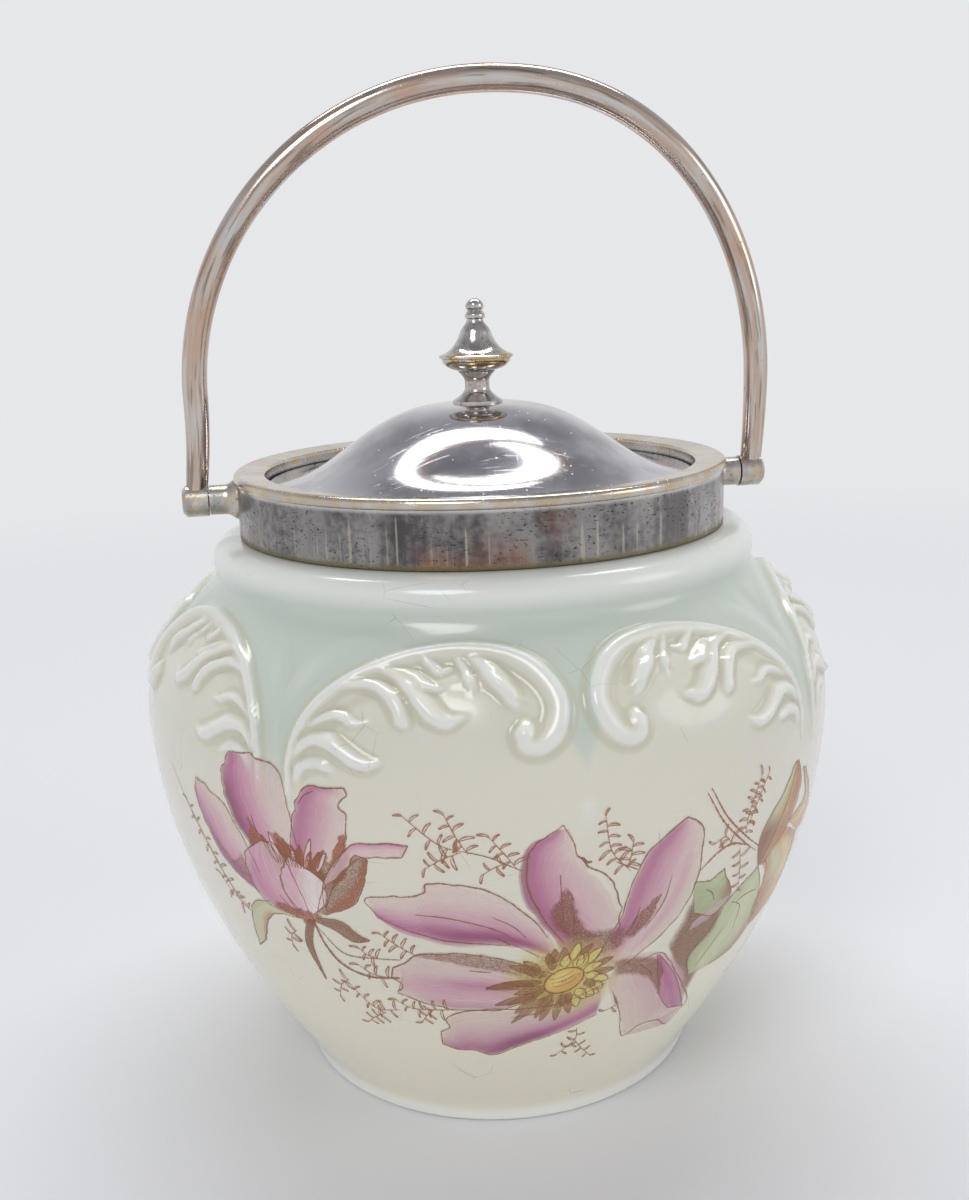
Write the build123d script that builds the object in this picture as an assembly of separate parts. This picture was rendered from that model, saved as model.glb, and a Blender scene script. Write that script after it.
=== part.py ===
from build123d import *
import os

# A covered biscuit jar: a moulded opal-glass body with a plated metal collar cemented to its
# neck, a spun lid with a finial, and a bail that swings on two lugs.
# Millimetres. +Z is up, the origin is the centre of the foot, +X runs along the bail's pivots,
# and an azimuth is measured from the front of the jar, -Y, towards +X.

os.makedirs("parts", exist_ok=True)

# ---- Driving dimensions ---------------------------------------------------------------------

# Glass body
foot_radius = 45.5        # outside of the foot ring
foot_land = 4.5           # width of the ring that the jar stands on
foot_recess = 1.6         # depth of the hollow under the jar
foot_edge = 4.0           # height of the foot ring's upright edge
foot_round = 1.0          # rounding of the foot ring's lower corner
foot_step = 1.1           # how far the wall starts outside the foot ring
foot_step_height = 1.0
wall_root_pull = (14.5, 22.0)   # how far the wall keeps the slope that it leaves the foot with
belly_radius = 75.8       # widest part
belly_height = 84.0
belly_pull_below = 30.0   # how far the wall stays upright below and above the widest part
belly_pull_above = 22.0
waist_radius = 59.2       # narrow place under the neck roll
waist_height = 115.0
waist_pull = 6.0
roll_bulge = 1.2          # how far the neck roll stands out past the waist
roll_height = 6.8         # from the waist to the top of the roll
glass_wall = 4.0
neck_inset = 8.0          # how far the neck inside the collar is stepped in from the waist
lip_round = 0.8

# Moulded relief on the shoulder: C-scrolls in mirrored pairs, each a rim that rolls up into a
# curl, with leaves inside it. The left scroll of a pair is drawn flat: places are (across,
# above the belly), measured from the scroll's middle.
scroll_pairs = 4
pair_azimuth = 5.0        # middle of the front pair
scroll_azimuth = 22.0     # from the middle of a pair to the middle of a scroll
rim_rise = 1.5            # how far the rim stands out of the wall
leaf_rise = 1.1           # how far the leaves stand out of the wall
relief_root = 1.0         # how far both are rooted in the wall
rim_back = [(-25.4, -2.0), (-8.6, 25.0), (10.2, 27.4), (26.6, 14.6), (20.8, 6.3), (15.3, 11.2)]
rim_front = [(-24.2, -2.0), (-7.0, 22.0), (9.8, 23.7), (22.3, 14.2), (20.9, 11.6)]
curl_end = (18.3, 11.6)   # centre of the round end of the curl
curl_end_radius = 3.0
leaf_root_width = 0.8     # half the width of a leaf at its root and at its tip
leaf_tip_width = 1.9
leaves = [                # the root, the bend and the tip of each
    ((-23.6, 6.2), (-15.2, 10.8), (-9.4, 8.4)),
    ((-18.2, 17.0), (-8.6, 19.4), (-4.6, 15.4)),
    ((-11.6, 21.4), (-1.6, 20.4), (5.4, 16.0)),
    ((7.0, 25.0), (12.4, 22.0), (14.6, 17.6)),
]

# Collar, spun from sheet, and the plaster that holds it
collar_gap = 0.3          # between the top of the neck roll and the collar's lower edge
collar_sheet = 0.7
plaster_thick = 1.4
plaster_clear = 0.05      # between the plaster and the metal or glass beside it
band_height = 12.3        # from the band's lower edge to the centre of its top bead
bead_radius = 1.2
shelf_width = 6.2         # from the outside of the band to the well
shelf_slope = 0.5         # how far the shelf inside the bead falls towards the well
well_depth = 3.35         # from the shelf down to the ledge that carries the lid
well_round = 0.6
ledge_width = 3.6

# Lugs and pivots of the bail
pivot_drop = 4.6          # from the bead's centre down to the pivots
lug_radius = 3.2
lug_length = 5.9          # from the band to the lug's outer face
pad_spread = 1.5          # how far the flared solder pad stands out round the lug
pad_flare = 3.0           # length over which the pad narrows to the lug
pin_radius = 1.5
pin_hold = 4.0            # length of pin held in the lug
pin_reach = 4.3           # length of pin that stands out of the lug
press_clear = 0.01        # radial, pin in lug and stud in finial
pivot_clear = 0.06        # radial, pin in knuckle
knuckle_gap = 0.3         # between the lug and the knuckle
knuckle_wall = 1.89       # between the knuckle's bore and its outside
knuckle_cap = 1.2         # metal past the end of the knuckle's bore
knuckle_chamfer = 0.8
bore_spare = 0.3          # how much deeper the knuckle's bore is than the pin needs

# Bow of the bail
bow_toe_in = 0.85         # how far each leg turns in at its lower end
bow_leg = 22.0            # height of a leg, pivot to the start of the arch
bow_rise = 63.2           # height of the arch
crown_shift = 3.0         # the bow was bent by hand: its crown stands a little to one side
rod_crown = 2.9           # radius of the rod at the crown, the top of a leg and its lower end
rod_shoulder = 2.65
rod_end = 2.3
braze_clear = 0.02        # between the leg's coped end and its knuckle

# Lid, spun from sheet
lid_sheet = 0.8
lid_clear = 0.5           # radial, lid in well
lid_flange = 2.2          # width of the flat flange
dome_rise = 15.6          # from the flange to the finial's seat
dome_foot_pull = 13.5     # how far the hollow of the dome runs in from the flange
dome_foot_lift = 0.4
dome_seat_margin = 0.5    # flat top that shows round the finial's base
dome_seat_pull = 19.5

# Finial: heights of the lower half are from the lid, of the upper half from the flange
finial_base = 5.5
finial_base_edge = 0.5    # height of the base's upright edge
finial_neck = 2.7
finial_neck_low = 3.4
finial_neck_high = 4.4
finial_waistband = 4.25   # where the neck's flare meets the cup
finial_waistband_height = 7.0
finial_cup = 7.6
finial_foot_height = 9.7
flange_overhang = 0.5     # how far the thin flange stands out past the cup
flange_thick = 0.6
bell_margin = 0.4         # how far the bell starts inside the cup's edge
bell_step = 0.3           # fall of the flange's upper face
bell_shoulder = 3.4
bell_shoulder_height = 5.4
bell_top = 1.8
bell_top_height = 8.2
ring_radius = 2.2
ring_height = 1.0
ring_bevel = 0.3
button_neck = 1.55
button_neck_height = 0.9  # from the ring to the narrowest place under the button
button_bulge = 1.15       # how far the button swells past its neck
button_height = 2.5

# Fixing of the finial
stud_radius = 1.5
stud_in_finial = 4.8
stud_below = 4.6          # length of stud that stands below the lid's sheet
stud_clear = 0.15         # radial, stud in the lid's hole and in the washer
washer_radius = 4.6
washer_thick = 0.8
nut_across_flats = 6.4
nut_height = 2.4

# ---- Sizes that follow from them ------------------------------------------------------------

wall_root_radius = foot_radius + foot_step
wall_root_height = foot_edge + foot_step_height
neck_radius = waist_radius - neck_inset
collar_inside = neck_radius + plaster_thick + 2 * plaster_clear
collar_radius = collar_inside + collar_sheet
well_radius = collar_radius - shelf_width
ledge_radius = well_radius - ledge_width

roll_top = waist_height + roll_height
band_bottom = roll_top + collar_gap
bead_height = band_bottom + band_height
shelf_top = bead_height + bead_radius
well_top = shelf_top - shelf_slope
ledge_top = well_top - well_depth
ledge_bottom = ledge_top - collar_sheet
lip_height = ledge_bottom - plaster_clear
flange_top = ledge_top + lid_sheet
seat_height = flange_top + dome_rise
seat_underside = seat_height - lid_sheet

pivot_height = bead_height - pivot_drop
lug_end = collar_radius + lug_length
knuckle_start = lug_end + knuckle_gap
knuckle_radius = pin_radius + pivot_clear + knuckle_wall
knuckle_bore = pin_reach - knuckle_gap + bore_spare
knuckle_length = knuckle_bore + knuckle_cap
knuckle_middle = knuckle_start + knuckle_length / 2
bow_half_span = knuckle_middle + bow_toe_in


# ---- Helpers --------------------------------------------------------------------------------

def at(radius, height):
    """A point of a turned outline, drawn in the XZ plane."""
    return Vector(radius, 0, height)


def corner_round(centre, size):
    """The quarter of a circle that faces outwards and up, about a point of the XZ plane."""
    return Plane.XZ * CenterArc((centre.X, centre.Z), size, 0, 90)


def flowing(start, end, leave, arrive):
    """A Bezier curve from start to end. Its handles stand off the two ends by leave and arrive,
    as shares of the width and of the height between the ends."""
    span = end - start
    first = start + at(span.X * leave[0], span.Z * leave[1])
    last = end - at(span.X * arrive[0], span.Z * arrive[1])
    return Bezier(start, first, last, end)


def turned(*edges):
    """The solid turned about Z from a closed outline in the XZ plane."""
    return revolve(make_face(Curve() + list(edges)), Axis.Z)


def rod(low, height, radius):
    """An upright cylinder on the jar's axis."""
    return Pos(0, 0, low) * Cylinder(radius, height, align=(Align.CENTER, Align.CENTER, Align.MIN))


def along_x(start, length, radius):
    """A cylinder on the pivot axis, from start towards +X."""
    plane = Plane(origin=(start, 0, pivot_height), z_dir=(1, 0, 0))
    return plane * Cylinder(radius, length, align=(Align.CENTER, Align.CENTER, Align.MIN))


def inset(pulls, wall):
    """A Bezier outline moved inwards by the wall, square to its first and its last leg."""
    first = (pulls[1] - pulls[0]).normalized()
    last = (pulls[3] - pulls[2]).normalized()
    start_in = at(-first.Z, first.X) * wall
    end_in = at(-last.Z, last.X) * wall
    return [pulls[0] + start_in, pulls[1] + start_in, pulls[2] + end_in, pulls[3] + end_in]


# ---- Glass jar ------------------------------------------------------------------------------

wall_root = at(wall_root_radius, wall_root_height)
belly = at(belly_radius, belly_height)
waist = at(waist_radius, waist_height)
lower_wall = [wall_root, wall_root + at(*wall_root_pull), belly - at(0, belly_pull_below), belly]
shoulder = [belly, belly + at(0, belly_pull_above), waist - at(0, waist_pull), waist]


def raised_skin(rise):
    """A turned skin on the wall and the shoulder, from the relief's root out to its rise."""
    skin_wall, skin_shoulder = inset(lower_wall, -rise), inset(shoulder, -rise)
    root_wall, root_shoulder = inset(lower_wall, relief_root), inset(shoulder, relief_root)
    return turned(
        Bezier(*skin_wall),
        Bezier(*skin_shoulder),
        Line(skin_shoulder[3], root_shoulder[3]),
        Bezier(*root_shoulder),
        Bezier(*root_wall),
        Line(root_wall[0], skin_wall[0]),
    )


def upward_arcs(places):
    """Arcs through the places, each tangent to the one before it. The first sets out upwards."""
    arcs = []
    heading = (0, 1)
    for start, end in zip(places, places[1:]):
        arcs.append(TangentArc(start, end, tangent=heading))
        heading = arcs[-1] % 1
    return arcs


def flat_rim():
    """The rim's outline: its back, its front, and the round end of the curl."""
    back, front = upward_arcs(rim_back), upward_arcs(rim_front)
    ends = [Line(rim_back[0], rim_front[0]), Line(rim_back[-1], rim_front[-1])]
    return make_face(Curve() + back + front + ends) + Pos(*curl_end) * Circle(curl_end_radius)


def flat_leaf(root, bend, tip):
    """A leaf's outline: two arcs that run from a narrow root to a broad round tip."""
    root, bend, tip = Vector(*root), Vector(*bend), Vector(*tip)
    across = Vector(0, 0, 1)
    root_side = across.cross(bend - root).normalized() * leaf_root_width
    bend_side = across.cross(tip - root).normalized() * (leaf_root_width + leaf_tip_width) / 2
    tip_side = across.cross(tip - bend).normalized() * leaf_tip_width
    tip_end = tip + (tip - bend).normalized() * leaf_tip_width
    return make_face(Curve() + [
        ThreePointArc(root + root_side, bend + bend_side, tip + tip_side),
        ThreePointArc(tip + tip_side, tip_end, tip - tip_side),
        ThreePointArc(tip - tip_side, bend - bend_side, root - root_side),
        Line(root - root_side, root + root_side),
    ])


def make_relief():
    """All the scrolls: the flat outlines driven into skins of the wall, mirrored and repeated."""
    drawing = Plane(origin=(0, 0, belly_height), x_dir=(1, 0, 0), z_dir=(0, -1, 0))
    reach = belly_radius + 2 * rim_rise
    pieces = [extrude(drawing * flat_rim(), reach) & raised_skin(rim_rise)]
    leaf_skin = raised_skin(leaf_rise)
    for places in leaves:
        pieces.append(extrude(drawing * flat_leaf(*places), reach) & leaf_skin)
    left = [Rot(0, 0, -scroll_azimuth) * piece for piece in pieces]
    pair = left + [piece.mirror(Plane.YZ) for piece in left]
    pitch = 360 / scroll_pairs
    return [Rot(0, 0, pair_azimuth + pitch * i) * piece for i in range(scroll_pairs) for piece in pair]


def make_glass_jar():
    """The turned glass body with its moulded scrolls."""
    land_inside = foot_radius - foot_land
    hollow_edge = land_inside - foot_recess
    foot_corner = at(foot_radius - foot_round, foot_round)
    roll_edge = collar_radius + collar_gap
    roll = Bezier(
        waist,
        waist + at(roll_bulge, roll_height / 2),
        waist + at(0, roll_height),
        at(roll_edge, roll_top),
    )
    inner_wall = inset(lower_wall, glass_wall)
    inner_shoulder = inset(shoulder, glass_wall)
    inner_waist = inner_shoulder[3]
    floor_height = inner_wall[0].Z
    mouth_radius = neck_radius - glass_wall
    throat = at(mouth_radius, roll_top)
    inner_roll = Bezier(
        inner_waist,
        inner_waist + at(0, roll_height / 3),
        throat - at(0, roll_height / 2),
        throat,
    )
    lip_corner = at(neck_radius - lip_round, lip_height - lip_round)
    body = turned(
        Line(at(0, foot_recess), at(hollow_edge, foot_recess)),
        Line(at(hollow_edge, foot_recess), at(land_inside, 0)),
        Line(at(land_inside, 0), at(foot_corner.X, 0)),
        Plane.XZ * CenterArc((foot_corner.X, foot_corner.Z), foot_round, -90, 90),
        Line(at(foot_radius, foot_round), at(foot_radius, foot_edge)),
        Line(at(foot_radius, foot_edge), wall_root),
        Bezier(*lower_wall),
        Bezier(*shoulder),
        roll,
        Line(at(roll_edge, roll_top), at(neck_radius, roll_top)),
        Line(at(neck_radius, roll_top), at(neck_radius, lip_corner.Z)),
        corner_round(lip_corner, lip_round),
        Line(at(lip_corner.X, lip_height), at(mouth_radius, lip_height)),
        Line(at(mouth_radius, lip_height), throat),
        inner_roll,
        Bezier(*inner_shoulder),
        Bezier(*inner_wall),
        Line(inner_wall[0], at(0, floor_height)),
        Line(at(0, floor_height), at(0, foot_recess)),
    )
    return body + make_relief()


# ---- Collar and the plaster that holds it ---------------------------------------------------

def section_box(inner, outer, low, high):
    """A rectangle of a turned section, between two radii and two heights."""
    return Pos((inner + outer) / 2, (low + high) / 2) * Rectangle(outer - inner, high - low)


def make_collar():
    """The spun collar: band, top bead, shelf, well wall and the ledge that carries the lid."""
    bead_centre = collar_radius - bead_radius / 2
    well_outside = well_radius + collar_sheet
    shelf_underside = well_top - collar_sheet
    well_lap = shelf_underside - collar_sheet
    shelf = Polygon(
        (well_radius, well_top - well_round),
        (well_radius, well_lap),
        (well_outside, well_lap),
        (well_outside, shelf_underside),
        (bead_centre, shelf_top - collar_sheet),
        (bead_centre, shelf_top),
        (well_radius + well_round, well_top),
        align=None,
    )
    section = (
        section_box(collar_inside, collar_radius, band_bottom, bead_height)
        + Pos(bead_centre, bead_height) * Circle(bead_radius)
        + shelf
        + section_box(well_radius, well_outside, ledge_bottom, shelf_underside)
        + section_box(ledge_radius, well_outside, ledge_bottom, ledge_top)
    )
    return revolve(Plane.XZ * section, Axis.Z)


def make_plaster_bed():
    """The plaster between the glass neck and the band."""
    height = lip_height - lip_round - band_bottom
    outside = collar_inside - plaster_clear
    return rod(band_bottom, height, outside) - rod(band_bottom, height, outside - plaster_thick)


# ---- Lugs, pins and knuckles: the right-hand ones, which are mirrored for the left ----------

def make_lug(collar):
    """A lug turned about the pivot axis, flared to a pad that is seated on the band."""
    pad_radius = lug_radius + pad_spread
    root = collar_radius - 2 * collar_sheet
    pad_end = collar_radius + pad_flare
    outline = make_face(Curve() + [
        Line((root, 0), (root, pad_radius)),
        Line((root, pad_radius), (collar_inside, pad_radius)),
        Bezier(
            (collar_inside, pad_radius),
            (collar_radius + pad_flare / 2, pad_radius - pad_spread / 4),
            (collar_radius + pad_flare / 3, lug_radius),
            (pad_end, lug_radius),
        ),
        Line((pad_end, lug_radius), (lug_end, lug_radius)),
        Line((lug_end, lug_radius), (lug_end, 0)),
        Line((lug_end, 0), (root, 0)),
    ])
    blank = Pos(0, 0, pivot_height) * revolve(outline, Axis.X)
    inside_of_band = rod(band_bottom - band_height, 3 * band_height, collar_radius)
    bore = along_x(lug_end - pin_hold, pin_hold, pin_radius + press_clear)
    return blank - inside_of_band - collar - bore


def make_pin():
    """A pivot pin, held in the lug and running in the knuckle."""
    return along_x(lug_end - pin_hold, pin_hold + pin_reach, pin_radius)


def make_knuckle():
    """A knuckle: a short barrel with a blind bore, chamfered at its outer end."""
    barrel = along_x(knuckle_start, knuckle_length, knuckle_radius)
    outer_edge = barrel.edges().filter_by(GeomType.CIRCLE).sort_by(Axis.X)[-1]
    barrel = chamfer(outer_edge, knuckle_chamfer)
    return barrel - along_x(knuckle_start, knuckle_bore, pin_radius + pivot_clear)


# ---- Bow of the bail ------------------------------------------------------------------------

def bow_half(side):
    """Half of the bow, from the crown down to the pivot on one side, +1 or -1."""
    arch_foot = pivot_height + bow_leg
    reach = bow_half_span - side * crown_shift
    quarter = Plane.XZ * EllipticalCenterArc(
        (crown_shift, arch_foot), reach, bow_rise, start_angle=90, arc_size=-90 * side
    )
    leg_top = Vector(side * bow_half_span, 0, arch_foot)
    leg_end = Vector(side * knuckle_middle, 0, pivot_height)
    leg = TangentArc(leg_top, leg_end, tangent=(0, 0, -1))
    crown = Vector(crown_shift, 0, arch_foot + bow_rise)
    path = Wire([quarter.edge(), leg.edge()])
    end_tangent = leg % 1
    sections = [
        Plane(origin=crown, x_dir=(0, 1, 0), z_dir=(side, 0, 0)) * Circle(rod_crown),
        Plane(origin=leg_top, x_dir=(0, 1, 0), z_dir=(0, 0, -1)) * Circle(rod_shoulder),
        Plane(origin=leg_end, x_dir=(0, 1, 0), z_dir=end_tangent) * Circle(rod_end),
    ]
    return sweep(sections=sections, path=path, multisection=True)


def make_bow():
    """The bent rod, its two ends coped to sit on the knuckles."""
    bow = bow_half(1) + bow_half(-1)
    cope_length = knuckle_length + 2 * knuckle_gap
    cope = along_x(knuckle_start - knuckle_gap, cope_length, knuckle_radius + braze_clear)
    return bow - cope - cope.mirror(Plane.YZ)


# ---- Lid, finial and their fixing -----------------------------------------------------------

def make_lid():
    """The spun lid: flat flange, ogee dome and a pierced flat top."""
    rim = well_radius - lid_clear
    hole = stud_radius + stud_clear
    dome_foot = at(rim - lid_flange, flange_top)
    dome_seat = at(finial_base + dome_seat_margin, seat_height)
    dome = [
        dome_foot,
        dome_foot + at(-dome_foot_pull, dome_foot_lift),
        dome_seat + at(dome_seat_pull, 0),
        dome_seat,
    ]
    below = at(0, -lid_sheet)
    return turned(
        Line(at(rim, ledge_top), at(rim, flange_top)),
        Line(at(rim, flange_top), dome_foot),
        Bezier(*dome),
        Line(dome_seat, at(hole, seat_height)),
        Line(at(hole, seat_height), at(hole, seat_underside)),
        Line(at(hole, seat_underside), dome_seat + below),
        Bezier(*[point + below for point in dome]),
        Line(dome_foot + below, at(rim, ledge_top)),
    )


def make_finial_foot():
    """The finial's lower half: a flared foot, a neck and a cup."""
    seat = at(0, seat_height)
    base_edge = seat + at(finial_base, finial_base_edge)
    neck_low = seat + at(finial_neck, finial_neck_low)
    neck_high = seat + at(finial_neck, finial_neck_high)
    waistband = seat + at(finial_waistband, finial_waistband_height)
    cup = seat + at(finial_cup, finial_foot_height)
    body = turned(
        Line(seat, seat + at(finial_base, 0)),
        Line(seat + at(finial_base, 0), base_edge),
        flowing(base_edge, neck_low, (0.46, 0.28), (0, 0.41)),
        Line(neck_low, neck_high),
        flowing(neck_high, waistband, (0, 0.54), (0.32, 0.31)),
        flowing(waistband, cup, (0.6, 0.15), (0, 0.48)),
        Line(cup, seat + at(0, finial_foot_height)),
        Line(seat + at(0, finial_foot_height), seat),
    )
    return body - rod(seat_height, stud_in_finial, stud_radius + press_clear)


def make_finial_bell():
    """The finial's upper half: a thin flange, a bell, a ring and a button."""
    seat = at(0, seat_height + finial_foot_height)
    flange = finial_cup + flange_overhang
    bell_foot = seat + at(finial_cup - bell_margin, flange_thick + bell_step)
    bell_side = seat + at(bell_shoulder, bell_shoulder_height)
    bell_end = seat + at(bell_top, bell_top_height)
    ring_low = seat + at(ring_radius, bell_top_height + ring_bevel)
    ring_high = seat + at(ring_radius, bell_top_height + ring_height)
    neck = seat + at(button_neck, bell_top_height + ring_height + button_neck_height)
    tip = at(0, neck.Z + button_height)
    return turned(
        Line(seat, seat + at(flange, 0)),
        Line(seat + at(flange, 0), seat + at(flange, flange_thick)),
        Line(seat + at(flange, flange_thick), bell_foot),
        flowing(bell_foot, bell_side, (0.58, 0.18), (0.16, 0.35)),
        flowing(bell_side, bell_end, (0.31, 0.5), (0.12, 0.43)),
        Line(bell_end, ring_low),
        Line(ring_low, ring_high),
        Line(ring_high, neck),
        Bezier(neck, neck + at(button_bulge, button_height / 4), tip + at(button_neck, 0), tip),
        Line(tip, seat),
    )


def make_stud():
    """The threaded stud under the finial, drawn as a plain rod."""
    return rod(seat_underside - stud_below, stud_below + lid_sheet + stud_in_finial, stud_radius)


def make_washer():
    """The washer under the lid's flat top."""
    low = seat_underside - washer_thick
    hole = rod(low, washer_thick, stud_radius + stud_clear)
    return rod(low, washer_thick, washer_radius) - hole


def make_nut():
    """The hexagonal nut that draws the finial down."""
    low = seat_underside - washer_thick - nut_height
    hexagon = RegularPolygon(nut_across_flats / 2, 6, major_radius=False)
    thread = rod(low, nut_height, stud_radius + press_clear)
    return Pos(0, 0, low) * extrude(hexagon, nut_height) - thread


# ---- Build and write ------------------------------------------------------------------------

collar = make_collar()
lug = make_lug(collar)
pin = make_pin()
knuckle = make_knuckle()
parts = {
    "glass_jar": make_glass_jar(),
    "plaster_bed": make_plaster_bed(),
    "collar": collar,
    "lug_right": lug,
    "lug_left": lug.mirror(Plane.YZ),
    "pivot_pin_right": pin,
    "pivot_pin_left": pin.mirror(Plane.YZ),
    "knuckle_right": knuckle,
    "knuckle_left": knuckle.mirror(Plane.YZ),
    "bail_bow": make_bow(),
    "lid": make_lid(),
    "finial_foot": make_finial_foot(),
    "finial_bell": make_finial_bell(),
    "finial_stud": make_stud(),
    "finial_washer": make_washer(),
    "finial_nut": make_nut(),
}
for name, solid in parts.items():
    export_step(solid, f"parts/{name}.step")
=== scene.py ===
import bpy
import numpy as np
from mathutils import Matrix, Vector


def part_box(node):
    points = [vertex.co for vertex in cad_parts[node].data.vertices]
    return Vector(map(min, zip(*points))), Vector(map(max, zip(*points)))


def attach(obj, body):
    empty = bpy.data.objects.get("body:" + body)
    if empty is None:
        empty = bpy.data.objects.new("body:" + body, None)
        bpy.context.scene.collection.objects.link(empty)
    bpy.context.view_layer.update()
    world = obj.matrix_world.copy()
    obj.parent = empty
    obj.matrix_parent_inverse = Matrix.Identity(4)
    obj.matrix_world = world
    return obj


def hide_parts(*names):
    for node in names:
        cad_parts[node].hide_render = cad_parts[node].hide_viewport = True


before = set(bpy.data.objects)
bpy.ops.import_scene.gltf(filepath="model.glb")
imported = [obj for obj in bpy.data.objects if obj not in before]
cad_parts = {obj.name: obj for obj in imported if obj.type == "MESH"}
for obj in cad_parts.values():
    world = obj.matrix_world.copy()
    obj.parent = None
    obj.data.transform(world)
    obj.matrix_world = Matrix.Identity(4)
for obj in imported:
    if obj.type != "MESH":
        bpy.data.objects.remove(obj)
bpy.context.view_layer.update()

# ==== Glass jar ===============================================================================
# Opal glass, blown in a four-part mould that leaves eight C-scrolls in relief under the shoulder.
# It was satin-finished, tinted celadon from the neck down to the scrolls and left ivory below.
# The foot ring is ground flat, and the neck inside the collar is left plain.

mm = 0.001
pair_centre = 5.0         # azimuth of the front pair of scrolls; azimuth 0 is -Y, 90 is +X
pair_pitch = 90.0
glass_wall = 4.0
neck_radius, lip_round = 51.2, 0.8
foot_radius, foot_land, foot_edge, foot_hollow, foot_round = 45.5, 4.5, 4.0, 1.6, 1.0
lip_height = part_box("glass_jar")[1].z / mm
belly_radius = 75.8
lower_wall = np.array([(46.6, 5.0), (61.1, 27.0), (belly_radius, 54.0), (belly_radius, 84.0)])
shoulder = np.array([(belly_radius, 84.0), (belly_radius, 106.0), (59.2, 109.0), (59.2, 115.0)])
neck_roll = np.array([(59.2, 115.0), (60.4, 118.4), (59.2, 121.8), (53.7, 121.8)])


def bezier(handles, count):
    """count points of a cubic Bezier: the handles weighted by (1-t)^3, 3t(1-t)^2, 3t^2(1-t), t^3."""
    t = np.linspace(0, 1, count)[:, None]
    a, b, c, d = np.asarray(handles, float)
    return (1 - t) ** 3 * a + 3 * t * (1 - t) ** 2 * b + 3 * t * t * (1 - t) * c + t ** 3 * d


def smooth_line(points, count):
    """A line through points, count points evenly spread along it. Between two points it is the
    cubic whose slope at each of them is half the step between that point's neighbours."""
    p = np.asarray(points, float)
    p = np.vstack([2 * p[0] - p[1], p, 2 * p[-1] - p[-2]])
    spans = len(p) - 3
    t = np.linspace(0, spans, 24 * spans + 1)
    i = np.minimum(t.astype(int), spans - 1)
    f = (t - i)[:, None]
    a, b, c, d = p[i], p[i + 1], p[i + 2], p[i + 3]
    line = b + 0.5 * f * ((c - a) + f * ((2 * a - 5 * b + 4 * c - d) + f * (3 * b - a - 3 * c + d)))
    run = np.append(0, np.cumsum(np.linalg.norm(np.diff(line, axis=0), axis=1)))
    even = np.linspace(0, run[-1], count)
    return np.stack([np.interp(even, run, line[:, k]) for k in range(line.shape[1])], -1)


wall_line = np.vstack([bezier(lower_wall, 80), bezier(shoulder, 160)[1:], bezier(neck_roll, 60)[1:]])
wall_slope = np.gradient(wall_line[:, 0], wall_line[:, 1] + np.arange(len(wall_line)) * 1e-9)


def on_wall(azimuth, height, lift=0.0):
    """Points on the outside of the glass, in millimetres, lifted square to the wall. The wall turns
    the outline about Z: (r sin a, -r cos a, z)."""
    radius = np.interp(height, wall_line[:, 1], wall_line[:, 0])
    slope = np.interp(height, wall_line[:, 1], wall_slope)
    outward = 1 / np.sqrt(1 + slope ** 2)
    radius = radius + lift * outward
    a = np.radians(azimuth)
    return np.stack([radius * np.sin(a), -radius * np.cos(a), height - lift * slope * outward], -1)


class Ridge:
    """A raised line of the mould: its course on the wall, its half-width and its height."""

    def __init__(self, course, width, height, count=90):
        line = smooth_line(course, count)
        self.points = on_wall(line[:, 0], line[:, 1])
        self.along = np.gradient(self.points, axis=0)
        share = np.linspace(0, 1, count)
        self.width = np.interp(share, np.linspace(0, 1, len(width)), width)
        self.height = np.interp(share, np.linspace(0, 1, len(height)), height)
        self.share = share

    def nearest(self, points):
        """For each point: its distance from the course, the number of the nearest course point,
        and its side, +1 outside the scroll and -1 inside."""
        reach = np.linalg.norm(points[:, None] - self.points[None], axis=2)
        number = reach.argmin(1)
        off = points - self.points[number]
        across = np.cross(self.along[number], self.points[number] * (1, 1, 0))
        return reach.min(1), number, np.sign((off * across).sum(1)) * -1


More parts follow.
